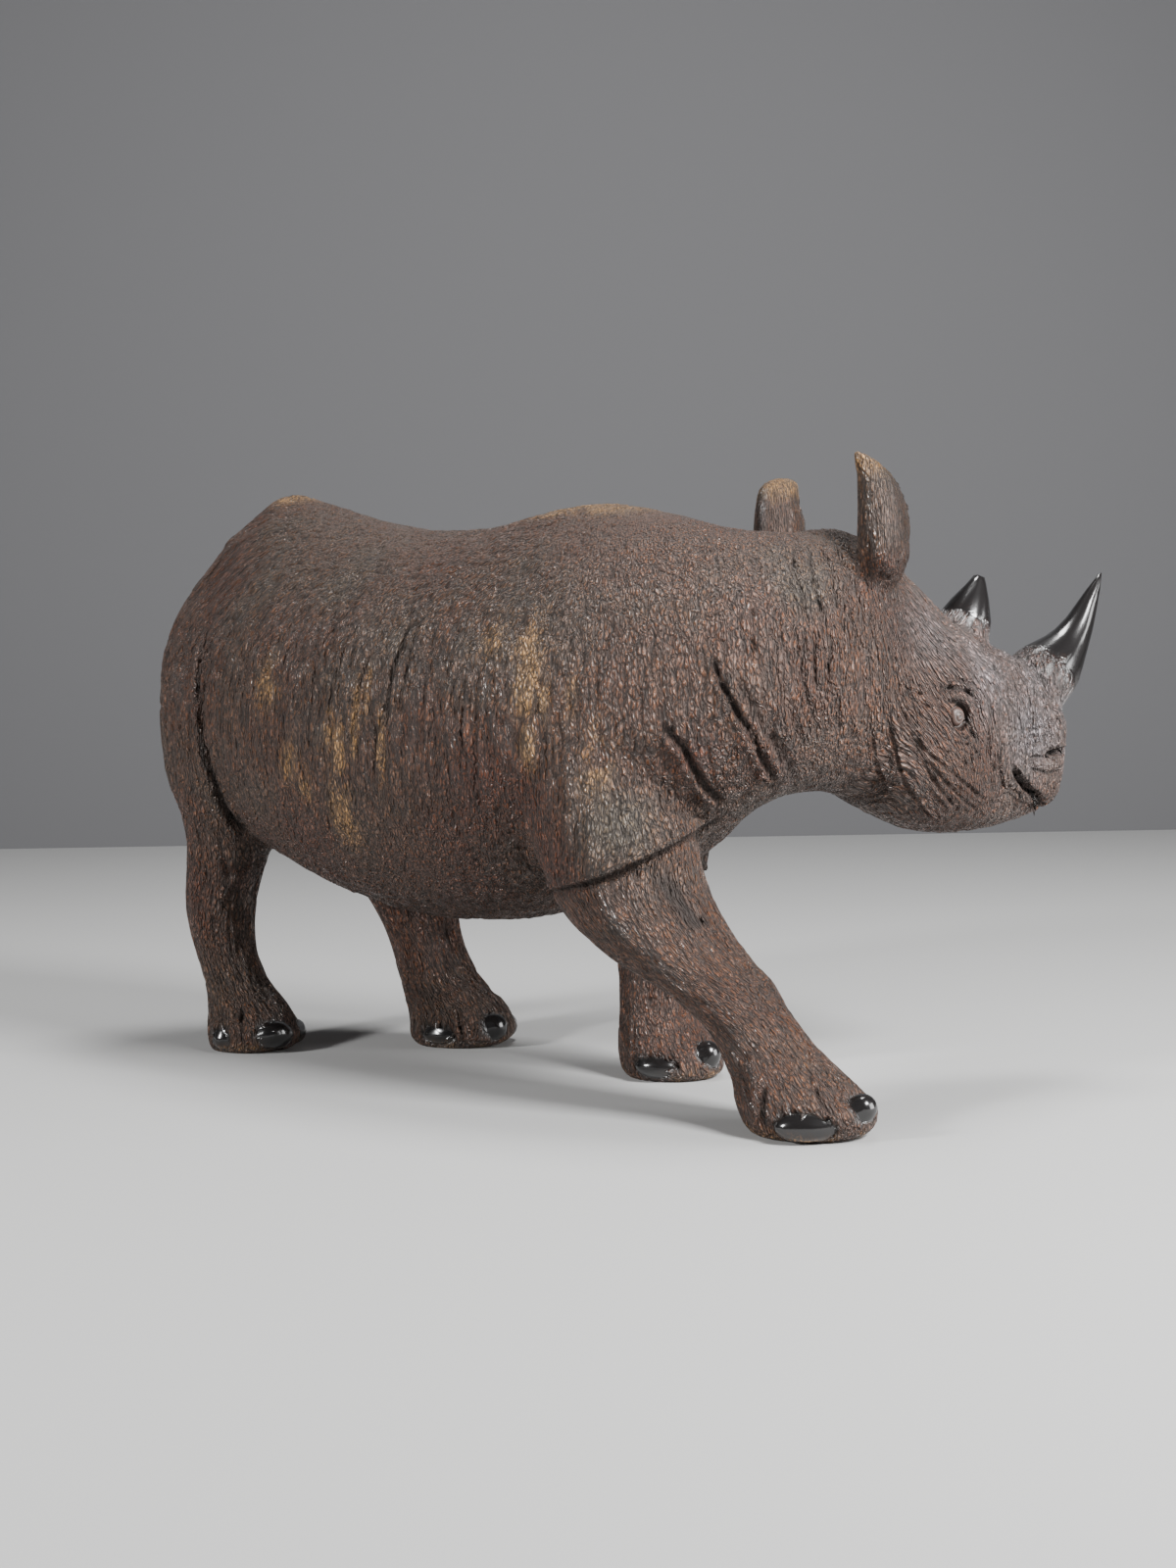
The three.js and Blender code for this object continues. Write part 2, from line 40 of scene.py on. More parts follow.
frameShift = np.array([10.394, -64.713, 0.0])  # from the carver's frame to the middle of the outline
up = np.array([0.0, 0.0, 1.0])
mesh = {
    "voxel": 1.25,  # mm, of the skin that joins all the lofts
    "faces": 120000,  # before the places of the finest carving are split
    "smoothing": 90,
    # mm, the edges wanted beside the lines of the body, of the head, about the eyes and on them
    "edges": {"body": 2.0, "head": 1.2, "aboutEye": 1.2, "eye": 0.6},
}


# Lofts


def readRows(rows, at):
    # Rows of numbers read between each other, on a smooth curve through them.
    rows = np.asarray(rows, float)
    i = np.clip(np.floor(at).astype(int), 0, len(rows) - 2)
    t = (at - i)[:, None]

    def row(k):
        return rows[np.clip(i + k, 0, len(rows) - 1)]

    before, start, end, after = row(-1), row(0), row(1), row(2)
    return (
        (2 * t**3 - 3 * t**2 + 1) * start
        + (t**3 - 2 * t**2 + t) * (end - before) / 2
        + (3 * t**2 - 2 * t**3) * end
        + (t**3 - t**2) * (after - start) / 2
    )


def stations(rows, fine):
    # Places along the rows, so many to a gap.
    return np.linspace(0, len(rows) - 1, (len(rows) - 1) * fine + 1)


def ringOffsets(sides, plusAcross, minusAcross, plusUp, minusUp, powerUp=2.0, powerDown=2.0):
    # A ring for each row: its points' reach across and up, on an ellipse or a squarer curve.
    angle = np.arange(sides) * 2 * np.pi / sides
    c, s = np.cos(angle)[None, :], np.sin(angle)[None, :]
    column = [np.reshape(v, (-1, 1)) * 1.0 for v in (plusAcross, minusAcross, plusUp, minusUp, powerUp, powerDown)]
    power = np.where(s > 0, column[4], column[5])
    reach = (np.abs(c) ** power + np.abs(s) ** power) ** (-1 / power)
    return reach * c * np.where(c > 0, column[0], column[1]), reach * s * np.where(s > 0, column[2], column[3])


def grid(middles, across, upward, offsets):
    # A ring of points for each middle: the middle, plus the offsets times the two directions.
    a, b = offsets
    across = np.broadcast_to(across, middles.shape)
    upward = np.broadcast_to(upward, middles.shape)
    return middles[:, None] + a[..., None] * across[:, None] + b[..., None] * upward[:, None]


def closeGrid(points):
    # Faces over a grid of rings, with a pole at each end, turned outwards.
    rows, sides = points.shape[:2]
    verts = np.concatenate([points.reshape(-1, 3), points[0].mean(0)[None], points[-1].mean(0)[None]])
    k = np.arange(sides)
    n = (k + 1) % sides
    r = np.arange(rows - 1)[:, None] * sides
    quads = np.stack([r + k, r + n, r + sides + n, r + sides + k], -1).reshape(-1, 4)
    last = (rows - 1) * sides
    tris = np.concatenate([
        np.stack([quads[:, 0], quads[:, 1], quads[:, 2]], -1),
        np.stack([quads[:, 0], quads[:, 2], quads[:, 3]], -1),
        np.stack([n, k, np.full(sides, rows * sides)], -1),
        np.stack([last + k, last + n, np.full(sides, rows * sides + 1)], -1),
    ])
    a, b, c = verts[tris[:, 0]], verts[tris[:, 1]], verts[tris[:, 2]]
    if np.einsum("ij,ij->", a, np.cross(b, c)) < 0:
        tris = tris[:, ::-1]
    return verts, tris


def tube(points, radii, across, sides=48, fine=10):
    # A round profile carried along a smooth curve, its radius read along the same curve.
    at = stations(points, fine)
    middles = readRows(points, at)
    radius = readRows(np.asarray(radii)[:, None], at)[:, 0]
    ahead = np.gradient(middles, axis=0)
    ahead /= np.linalg.norm(ahead, axis=1)[:, None]
    upward = np.cross(ahead, across)
    upward /= np.linalg.norm(upward, axis=1)[:, None]
    return closeGrid(grid(middles, np.asarray(across), upward, ringOffsets(sides, radius, radius, radius, radius)))


def ellipsoid(middle, axes, sides=40):
    # The three axes are vectors as long as the half sizes.
    tilt = np.linspace(-np.pi / 2, np.pi / 2, sides // 2 + 1)[1:-1]
    c = np.cos(tilt)
    middles = np.asarray(middle) + np.sin(tilt)[:, None] * axes[2]
    return closeGrid(grid(middles, axes[0], axes[1], ringOffsets(sides, c, c, c, c)))


# The head's own directions, turned to the left of the body

headTurn = np.radians(68)
headRoot = np.array([185.0, 56.0, 0.0])
headAhead = np.array([np.cos(headTurn), np.sin(headTurn), 0])
headLeft = np.array([-np.sin(headTurn), np.cos(headTurn), 0])


def onHead(ahead, left, height):
    # Places given as distances ahead of the ears, left of the head's middle and above ground.
    level = headRoot + np.multiply.outer(ahead, headAhead) + np.multiply.outer(left, headLeft)
    return level + np.multiply.outer(height, up)


def headPoints(rows, side=-1):
    rows = np.asarray(rows, float)
    return onHead(rows[:, 0], side * rows[:, 1], rows[:, 2])


# Trunk, neck and head

trunk = {
    # x, y, the way the slice faces, top, widest level, bottom, half width, how square it is above and below
    "slices": [
        [-291, 0, 0, 284, 252, 216, 16, 2, 2],
        [-287, 0, 0, 301, 250, 196, 40, 1.8, 2],
        [-273, 0, 0, 321, 246, 170, 60, 1.55, 2],
        [-252, 0, 0, 340, 239, 151, 70, 1.45, 2.1],
        [-228, 0, 0, 356, 230, 137, 76, 1.42, 2.1],
        [-206, 0, 0, 362, 222, 127, 82, 1.5, 2.1],
        [-168, 0, 0, 352, 211, 114, 91, 1.75, 2.1],
        [-126, 0, 0, 340, 202, 102, 99, 1.95, 2.1],
        [-69, 0, 0, 330.5, 197, 91.5, 104, 2.1, 2.1],
        [-10, 0, 0, 329.5, 196, 92, 103, 2.1, 2.1],
        [30, 0, 0, 335.5, 199, 99, 98, 2.05, 2.1],
        [69, 0, 0, 338.5, 206, 115, 91, 2, 2],
        [113, 0, 2, 331, 214, 128, 82, 2, 2],
        [148, 2, 13, 322, 224, 150, 71, 2, 2],
        [175, 20, 41, 317, 236, 170, 59, 2, 2],
    ],
    # the head in the same way, placed by its distance ahead of the ears
    "headSlices": [
        [0, 320, 242, 171, 52, 2, 2.1],
        [24, 312, 236, 160, 52, 1.9, 2.2],
        [52, 289, 224, 148, 49, 1.85, 2.3],
        [79, 267, 213, 144.5, 43, 1.85, 2.3],
        [105.5, 255, 205, 146, 35, 1.9, 2.2],
        [126, 247, 199, 150, 29, 2, 2.2],
        [141, 239, 195, 155, 25, 2.2, 2.2],
        [150, 230, 192, 159, 20, 2.4, 2.4],
        [154.5, 217, 190, 167, 12, 2.2, 2.2],
    ],
    # soft masses: middle, reach, rise
    "bodySwellings": [[84, 86, 212, 58, 7], [-222, 82, 232, 60, 5], [-234, 32, 326, 15, 5]],
    "headSwellings": [[36, 47, 192, 32, 4], [54, 39, 240, 17, 5], [144, 16, 203, 13, 3]],
    "sides": 180,
    "fine": 10,
}


def trunkRows():
    # All the slices from the rump to the nose, in one row of columns.
    rows = [list(row) for row in trunk["slices"]]
    for row in trunk["headSlices"]:
        x, y, _ = onHead(row[0], 0, 0)
        rows.append([x, y, np.degrees(headTurn), *row[1:]])
    return readRows(rows, stations(rows, trunk["fine"])).T


def makeTrunk():
    # Rings on the slices, with each soft mass pushed out by a bell curve of the distance from its middle.
    x, y, heading, top, widest, bottom, half, powerUp, powerDown = trunkRows()
    heading = np.radians(heading)
    left = np.stack([-np.sin(heading), np.cos(heading), 0 * heading], -1)
    middles = np.stack([x, y, widest], -1)
    offsets = ringOffsets(trunk["sides"], half, half, top - widest, widest - bottom, powerUp, powerDown)
    rings = grid(middles, left, up, offsets)
    outward = rings - middles[:, None]
    outward /= np.linalg.norm(outward, axis=2)[..., None]
    masses = []
    for x, y, z, reach, rise in trunk["bodySwellings"]:
        masses += [[(x, side * y, z), reach, rise] for side in (-1, 1)]
    for ahead, out, height, reach, rise in trunk["headSwellings"]:
        masses += [[onHead(ahead, side * out, height), reach, rise] for side in (-1, 1)]
    for at, reach, rise in masses:
        away = np.sum((rings - np.asarray(at)) ** 2, axis=2)
        rings = rings + outward * (rise * np.exp(-away / reach**2))[..., None]
    return closeGrid(rings)


# Legs and shoulders

legs = {
    # toes: turn of each, level, width and height of its nail, how far the nail stands out
    # level slices from the sole up: x, y, z, reach ahead, behind and sideways
    "rightHind": {"toes": [[-85, 9, 15, 13, 2.5], [-12, 12, 24, 17, 3.5], [44, 10, 20, 15, 3]], "slices": [
        [-206, -48, 0, 27, 25, 25],
        [-204, -48, 5, 34, 29, 29],
        [-204, -48, 14, 34, 29, 30],
        [-208, -48, 26, 28, 25, 26],
        [-219, -48, 43, 21, 20, 21],
        [-230, -48, 65, 19, 20, 21],
        [-232, -48, 91, 20, 23, 24],
        [-227, -48, 117, 24, 24, 27],
        [-221, -48, 143, 33, 28, 31],
        [-216, -46, 175, 49, 51, 40],
        [-214, -44, 215, 56, 61, 45],
        [-214, -42, 245, 51, 62, 40],
        [-216, -36, 270, 36, 48, 25],
    ]},
    "leftHind": {"toes": [[-73, 9, 24, 11, 2.5], [-7, 14, 17, 17, 4.5], [50, 10, 20, 15, 3]], "slices": [
        [-110, 48, 0, 30, 29, 27],
        [-109, 48, 5, 38, 34, 31],
        [-108, 48, 14, 39, 35, 32],
        [-113, 48, 26, 34, 33, 30],
        [-127, 48, 42, 27, 27, 26],
        [-138, 48, 64, 24, 25, 24],
        [-149, 48, 88, 28, 28, 28],
        [-162, 47, 115, 36, 36, 33],
        [-180, 45, 150, 48, 48, 40],
        [-198, 43, 190, 56, 64, 45],
        [-208, 42, 235, 54, 64, 43],
        [-214, 36, 270, 36, 44, 25],
    ]},
    "rightFore": {"toes": [[-52, 8.5, 31, 15, 3.5], [0, 17, 16, 15, 4.5], [58, 9, 22, 15, 3]], "slices": [
        [239, -44, 0, 29, 31, 26],
        [239, -44, 5, 37, 35, 31],
        [236, -44, 15, 41, 37, 32],
        [227, -43, 27, 35, 33, 28],
        [213, -42, 42, 26, 29, 25],
        [199, -42, 56, 25, 27, 26],
        [179, -43, 71, 31, 34, 30],
        [158, -44, 86, 35, 47, 35],
        [140, -45, 104, 37, 56, 38],
        [127, -46, 124, 37, 57, 40],
        [117, -46, 150, 40, 52, 41],
        [106, -46, 185, 42, 54, 40],
        [96, -44, 225, 40, 52, 36],
    ]},
    "leftFore": {"toes": [[-65, 9, 25, 12, 3], [0, 15, 16, 17, 4.5], [60, 9, 22, 15, 3]], "slices": [
        [77, 40, 0, 27, 26, 25],
        [77, 40, 5, 34, 30, 29],
        [75, 40, 14, 34, 29, 30],
        [70, 40, 27, 28, 25, 26],
        [67, 40, 44, 22, 22, 23],
        [68, 41, 66, 24, 24, 25],
        [70, 42, 90, 23, 30, 29],
        [70, 44, 118, 18, 38, 33],
        [70, 45, 150, 20, 44, 37],
        [74, 44, 190, 26, 48, 38],
    ]},
}
feet = {
    "toe": (28, 22),  # width and height
    "nailRoot": 3.0,
}
shoulders = {
    # the hem is a sloping plane: x, y and z of a point of it, and its rise along X and Y
    "right": {"hem": [99, -79, 124, 0.29, 0.3], "slices": [
        [142, -44, 95, 46, 58, 41],
        [130, -45, 124, 45, 58, 44],
        [119, -46, 150, 47, 60, 45],
        [106, -45, 185, 48, 64, 46],
        [98, -43, 215, 45, 60, 45],
        [94, -38, 245, 36, 50, 38],
        [92, -31, 268, 24, 34, 27],
    ]},
    "left": {"hem": [76, 79, 120, 0.15, -0.3], "slices": [
        [70, 44, 95, 8, 44, 37],
        [70, 45, 124, 10, 46, 40],
        [72, 46, 150, 16, 52, 44],
        [76, 45, 185, 31, 58, 46],
        [84, 43, 215, 40, 57, 45],
        [92, 38, 245, 36, 50, 38],
        [92, 31, 268, 24, 34, 27],
    ]},
}


def limbGrid(slices, sides=96, fine=8):
    # Level rings, each an ellipse with its own reach ahead, behind and sideways.
    x, y, z, front, back, side = readRows(slices, stations(slices, fine)).T
    offsets = ringOffsets(sides, side, side, front, back)
    return grid(np.stack([x, y, z], -1), np.array([0, 1.0, 0]), np.array([1.0, 0, 0]), offsets)


def footRims(leg):
    # Each toe's way out of the foot, the place of the foot's rim there on the ground, and its nail.
    x, y, _, front, back, side = leg["slices"][2]
    for turn, *nail in leg["toes"]:
        out = np.array([np.cos(np.radians(turn)), np.sin(np.radians(turn)), 0])
        reach = 1 / np.hypot(out[0] / (front if out[0] > 0 else back), out[1] / side)
        yield out, np.array([x, y, 0]) + out * reach, nail


def nailForms(leg):
    # Middle and half-size axes of each nail.
    root = feet["nailRoot"]
    for out, rim, (level, width, height, swell) in footRims(leg):
        axes = np.array([np.cross(up, out) * width / 2, out * (root + swell), up * height / 2])
        yield rim - out * root + up * level, axes


def makeLeg(leg):
    # The limb, a round toe behind each nail, and the nails.
    width, height = feet["toe"]
    pieces = [closeGrid(limbGrid(leg["slices"]))]
    for out, rim, _ in footRims(leg):
        middle = rim - out * height * 0.55 + up * height / 2
        pieces.append(ellipsoid(middle, [np.cross(up, out) * width / 2, out * height * 0.6, up * height / 2]))
    for middle, axes in nailForms(leg):
        pieces.append(ellipsoid(middle, axes))
    return pieces


def makeShoulder(shoulder):
    # Each column of the limb's grid starts where it crosses the plane of the hem.
    points = limbGrid(shoulder["slices"])
    x, y, z, riseX, riseY = shoulder["hem"]
    above = points[..., 2] - (z + riseX * (points[..., 0] - x) + riseY * (points[..., 1] - y))
    rows, sides = above.shape
    first = np.argmax(above > 0, axis=0)
    k = np.arange(sides)
    low, high = above[first - 1, k], above[first, k]
    start = first - 1 + low / (low - high)
    at = start + (rows - 1 - start) * np.linspace(0, 1, rows)[:, None]
    i = np.clip(np.floor(at).astype(int), 0, rows - 2)
    t = (at - i)[..., None]
    return closeGrid(points[i, k] * (1 - t) + points[i + 1, k] * t)


# Horns, ears and tail

horns = {
    # distance ahead, height and radius at places along each horn; the places where the polish starts
    "front": {"polish": (0.2, 1.5), "cut": False, "rows": [
        [135, 222, 21.5], [146.5, 232.8, 20.8], [154.3, 238.5, 18.8], [161, 245, 15.4], [167.5, 252.3, 12.4],
        [175.3, 262.9, 9.2], [181.4, 273.7, 6.6], [186.8, 283.6, 4.3], [191.4, 292.4, 1.9], [193, 296.3, 0.8]]},
    "rear": {"polish": (0.2, 0.9), "cut": True, "rows": [
        [87, 254, 18], [93.5, 267.5, 15], [96.5, 274.3, 12], [99.6, 281.6, 8.4], [102.3, 288.5, 5.2],
        [103.7, 293.6, 2.9]]},
}
ears = {
    "wall": 4.0, "spread": 43,
    # height above the ground, distance ahead, depth, width, how far drawn in
    "near": {"side": -1, "hollow": (3, 9), "slices": [
        [284, 10, 5, 6, 4], [289, 9.6, 9, 10, 2], [297, 9, 12.5, 13.5, 0], [308, 9, 15, 15, 0],
        [320, 9, 15.2, 14.5, 0],
        [333, 7.3, 13.4, 13, 0], [342, 4.8, 11.4, 11, 0], [348.5, 1.8, 9.2, 8.5, 0], [354.5, -3.4, 6, 5, 0],
        [359, -8.6, 1.6, 1.5, 0]]},
    "far": {"side": 1, "hollow": (2, 7), "slices": [
        [284, -4, 12, 9, 4], [296, -4, 15.5, 13, 1], [312, -5, 16.8, 14.5, 0], [328, -5.6, 15.3, 14, 0],
        [336, -6.4, 13.4, 12.5, 0], [344, -6, 12.2, 11.5, 0], [349, -4.6, 9.5, 9, 0], [351.5, -4, 4, 4, 0]]},
}
tail = {"root": (-290, 0, 300), "length": 105, "thickness": 12, "shares": [0.9, 1, 0.85, 0.7, 0.5]}


def hornPath(horn):
    # The horn's middle line and its radii.
    rows = np.array(horn["rows"], float)
    return onHead(rows[:, 0], 0 * rows[:, 0], rows[:, 1]), rows[:, 2]


def makeHorn(horn):
    points, radii = hornPath(horn)
    return tube(points, radii, headLeft)


def earGrid(ear, rows, wall):
    # Level rings up the ear, or inside it at a wall's thickness.
    height, ahead, depth, width, inward = readRows(rows, stations(rows, 8)).T
    middles = onHead(ahead + wall * 1.4, ear["side"] * (ears["spread"] - inward), height)
    offsets = ringOffsets(64, width - wall, width - wall, depth - wall * 0.2, depth - wall)
    return closeGrid(grid(middles, headLeft, headAhead, offsets))


def makeTail():
    # A tube down the rump that bows back by a sine of its length.
    share = np.linspace(0, 1, 5)[:, None]
    bow = np.array([-tail["thickness"] / 2, 0, 0])
    points = np.array(tail["root"]) + bow * np.sin(np.pi * share) - up * tail["length"] * share
    return tube(points, np.array(tail["shares"]) * tail["thickness"] / 2, [0, 1.0, 0])


# One skin over all the lofts


def meshObject(name, pieces):
    # One object from several pieces' points and faces.
    verts, tris, first = [], [], 0
    for points, faces in pieces:
        verts.append(points)
        tris.append(faces + first)
        first += len(points)
    data = bpy.data.meshes.new(name)
    data.from_pydata(np.concatenate(verts).tolist(), [], np.concatenate(tris).tolist())
    thing = bpy.data.objects.new(name, data)
    bpy.context.collection.objects.link(thing)
    return thing


def finished(thing):
    # The mesh that the object's modifiers make, in place of its own.
    graph = bpy.context.evaluated_depsgraph_get()
    made = bpy.data.meshes.new_from_object(thing.evaluated_get(graph), depsgraph=graph)
    thing.modifiers.clear()
    old, thing.data = thing.data, made
    bpy.data.meshes.remove(old)
    return made


def makeEar(ear):
    # The ear's block with its hollow cut out.
    outside = meshObject("ear", [earGrid(ear, ear["slices"], 0)])
    first, last = ear["hollow"]
    hollow = meshObject("earHollow", [earGrid(ear, ear["slices"][first:last], ears["wall"])])
    cut = outside.modifiers.new("hollow", "BOOLEAN")
    cut.operation = "DIFFERENCE"
    cut.solver = "EXACT"
    cut.object = hollow
    made = finished(outside)
    made.calc_loop_triangles()
    verts = readArray(made.vertices, "co", 3)
    tris = np.array([t.vertices[:] for t in made.loop_triangles])
    for thing in (outside, hollow):
        bpy.data.objects.remove(thing)
    return verts, tris


def readArray(items, key, width=1, kind=np.float32):
    # A value of every item of a mesh, as rows.
    values = np.empty(len(items) * width, kind)
    items.foreach_get(key, values)
    return values.reshape(-1, width) if width > 1 else values


def readPoints(thing):
    return readArray(thing.data.vertices, "co", 3).astype(float)


def smoothStep(value, low, high):
    # 0 below low, 1 above high, smooth between. It falls instead where low is the larger.
    t = np.clip((value - low) / (high - low), 0, 1)
    return t * t * (3 - 2 * t)


def lumps(points, seed):
    # Soft random heights between -1 and 1, one for each corner of a lattice of unit cells, blended between.
    cell = np.floor(points).astype(np.int64)
    t = points - cell
    t = t * t * (3 - 2 * t)
    table = np.random.default_rng(seed).uniform(-1, 1, 8192)
    total = 0
    for corner in range(8):
        bits = np.array([corner & 1, corner >> 1 & 1, corner >> 2 & 1])
        at = cell + bits
        key = (at[:, 0] * 73856093 ^ at[:, 1] * 19349663 ^ at[:, 2] * 83492791) & 8191
        total = total + table[key] * np.prod(np.where(bits, t, 1 - t), axis=1)
    return total


def smoothLine(points, fine=6):
    # A smooth curve through a line's points.
    points = np.asarray(points, float)
    return readRows(points, stations(points, fine))


def acrossLine(points, normals, line, reach):
    # Of the points near a line: which they are, how far aside, on which side, and how far along.
    near = np.flatnonzero(np.all((points > line.min(0) - reach) & (points < line.max(0) + reach), axis=1))
    p, n = points[near], normals[near]
    best, side, along, run = np.full(len(near), 1e9), np.zeros(len(near)), np.zeros(len(near)), 0.0
    for a, b in zip(line[:-1], line[1:]):
        ahead = b - a
        length = np.linalg.norm(ahead)
        share = np.clip((p - a) @ ahead / length**2, 0, 1)
        gap = p - a - share[:, None] * ahead
        lift = np.einsum("ij,ij->i", gap, n)
        flat = gap - lift[:, None] * n
        away = np.linalg.norm(flat, axis=1) + np.maximum(0, np.abs(lift) - 7)
        closer = away < best
        best = np.where(closer, away, best)
        side = np.where(closer, np.sign(np.einsum("ij,ij->i", np.cross(ahead, n), gap)), side)
        along = np.where(closer, run + share * length, along)
        run += length
    keep = best < reach
    return near[keep], best[keep], side[keep], along[keep], run


# Carved lines of the skin. Each is half width, depth (below 0 it stands up), lip on its left, lip on its
# right, points.
bodyLines = {
    "rumpFold": [3.2, 4.2, 0.3, 1.6, [
        [-211, -72, 272], [-210, -77, 261], [-207, -83, 242], [-200, -87, 221], [-199, -84, 199],
        [-197, -81, 180], [-195, -75, 164], [-193, -69, 150], [-190, -56, 139]]],
    "rumpScratch": [1.6, 1.4, 0.2, 0.6, [[-203, -74, 271], [-204, -77, 259], [-198, -85, 240], [-192, -89, 218]]],
    "flank1": [1.9, 1.4, 0.5, 0.3, [
        [-58, -75, 292], [-64, -83, 280], [-72, -89, 269], [-77, -92, 260], [-78, -96, 251], [-79, -99, 237],
        [-77, -101, 227]]],
    "flank2": [2.3, 2.0, 0.5, 0.6, [
        [-7, -85, 274], [-9, -92, 260], [-12, -97, 246], [-12, -100, 233], [-13, -102, 218], [-11, -103, 208]]],
    "flank3": [1.9, 1.2, 0.7, 0.2, [
        [-27, -92, 261], [-32, -96, 252], [-35, -97, 246], [-37, -100, 236], [-37, -103, 223], [-41, -104, 208],
        [-46, -104, 196]]],
    "flank4": [1.7, 1.1, 0.4, 0.3, [
        [6, -78, 285], [1, -87, 270], [-1, -92, 258], [-1, -97, 244], [-2, -100, 230], [-2, -102, 216]]],
    "flank5": [1.7, 1.2, 0.6, 0.2, [
        [-54, -88, 270], [-56, -93, 258], [-57, -97, 246], [-59, -100, 233], [-60, -102, 221], [-63, -104, 201]]],
    "flank6": [1.6, 1.1, 0.4, 0.3, [
        [-27, -100, 234], [-26, -102, 221], [-21, -103, 207], [-22, -104, 193], [-25, -103, 183]]],
    "flank7": [1.5, 0.9, 0.3, 0.3, [[16, -95, 247], [16, -99, 230], [16, -101, 209], [16, -101, 194]]],
    "flank8": [1.4, 0.7, 0.3, 0.3, [[37, -86, 268], [37, -92, 251], [36, -97, 235], [35, -99, 216]]],
    "side1": [1.5, 1.0, 0.3, 0.3, [[45, -97, 232], [45, -98, 217], [45, -99, 208], [47, -99, 197], [48, -97, 186]]],
    "side2": [1.7, 1.3, 0.3, 0.3, [[53, -99, 205], [53, -97, 188], [52, -95, 179], [51, -91, 168], [50, -87, 159]]],
    "side3": [1.7, 1.2, 0.3, 0.4, [[54, -89, 164], [53, -84, 155], [53, -78, 146], [51, -70, 137], [49, -62, 129]]],
    "side4": [1.7, 1.2, 0.3, 0.4, [[60, -91, 172], [61, -85, 161], [61, -77, 149], [60, -68, 139], [57, -55, 128]]],
    "side5": [1.4, 0.8, 0.2, 0.3, [[32, -99, 185], [31, -96, 172], [31, -91, 157], [31, -84, 145], [33, -75, 134]]],
    "side6": [1.4, 0.8, 0.2, 0.3, [[13, -100, 180], [12, -97, 165], [12, -92, 151], [13, -84, 138]]],
    "neck1": [2.6, 3.2, 0.4, 1.6, [
        [185, -50, 253], [188, -51, 242], [191, -49, 233], [194, -43, 221], [196, -34, 209], [195, -21, 193],
        [193, -6, 179]]],
    "neck2": [2.9, 3.6, 0.2, 2.2, [
        [161, -68, 216], [164, -63, 210], [168, -58, 204], [170, -55, 198], [171, -50, 189], [171, -42, 181],
        [172, -33, 173], [171, -23, 168]]],
    "neck3": [1.7, 2.2, 0.5, 0.5, [
        [215, -13, 265], [216, -12, 252], [215, -13, 237], [216, -9, 225], [218, -4, 214], [216, 1, 206]]],
    "neck4": [1.8, 2.4, 0.4, 0.7, [
        [221, 2, 263], [224, 4, 254], [223, 2, 246], [221, 2, 235], [222, 7, 223], [220, 10, 214], [219, 8, 206]]],
    "neckFork": [1.3, 1.3, 0.3, 0.3, [[226, 7, 230], [225, 9, 220], [222, 13, 211], [220, 15, 203]]],
    "poll1": [1.5, 1.5, 0.5, 0.5, [[195, 12, 310], [204, -3, 296], [211, -6, 283], [216, -8, 271], [218, -7, 262]]],
    "poll2": [1.5, 1.5, 0.6, 0.5, [
        [203, 21, 309], [213, 19, 297], [219, 14, 283], [225, 17, 269], [229, 24, 255], [232, 33, 241]]],
    "poll3": [1.6, 1.8, 0.5, 0.6, [[201, 17, 308], [207, 9, 299], [212, 4, 289], [217, 2, 277], [221, 1, 261]]],
    "poll4": [1.4, 1.3, 0.5, 0.5, [[203, 38, 312], [209, 31, 305], [222, 28, 286], [228, 31, 271], [233, 41, 261]]],
    "poll5": [1.5, 1.4, 0.5, 0.4, [[202, 29, 311], [208, 21, 304], [219, 18, 286], [223, 20, 276]]],
    "poll6": [1.4, 1.2, 0.4, 0.4, [[214, 38, 298], [225, 28, 277], [230, 34, 264], [234, 39, 252]]],
    "neck5": [4.5, 1.5, 0.0, 0.5, [
        [196, -44, 238], [200, -38, 225], [204, -29, 209], [204, -13, 193], [197, 6, 179]]],
    "neck6": [3.5, 1.2, 0.0, 0.4, [
        [207, -26, 264], [210, -27, 248], [212, -26, 232], [213, -19, 217], [211, -6, 199]]],
    "neck7": [1.6, 1.3, 0.3, 0.3, [[219, -3, 263], [220, -7, 248], [220, -6, 232], [220, 0, 216], [218, 8, 204]]],
    "neck8": [1.8, 1.0, 0.3, 0.3, [[197, -28, 279], [199, -34, 264], [203, -35, 248], [206, -33, 233]]],
    "overHem": [1.4, 1.4, 0.3, 0.3, [
        [156, -64, 166], [159, -53, 166], [160, -40, 164], [159, -29, 161], [154, -13, 154]]],
    "armHollow": [10, 2.6, 0.0, 0.0, [
        [157, -62, 138], [160, -61, 130], [164, -57, 120], [171, -54, 110], [180, -51, 100]]],
}
footLines = {
    "rightForeHeel": [3.0, 3.4, 0.2, 0.5, [
        [230, -70, 30], [231, -71, 26], [232, -74, 20], [234, -75, 12], [236, -76, 4]]],
    "rightForeToe": [1.8, 2.6, 0.3, 0.6, [
        [253, -57, 31], [256, -59, 27], [260, -61, 22], [265, -62, 18], [269, -62, 13]]],
    "leftFore": [1.7, 2.2, 0.3, 0.4, [[92, 18, 23], [95, 19, 18], [99, 19, 13], [102, 21, 6]]],
    "rightHind": [1.6, 2.4, 0.3, 0.4, [[-191, -66, 30], [-190, -68, 24], [-188, -70, 18], [-186, -71, 8]]],
    "rightHindBack": [1.3, 1.2, 0.2, 0.3, [[-206, -75, 20], [-205, -77, 12], [-204, -77, 4]]],
    "leftHind": [1.6, 2.4, 0.3, 0.4, [[-89, 27, 29], [-87, 25, 23], [-84, 24, 16], [-81, 23, 8]]],
}
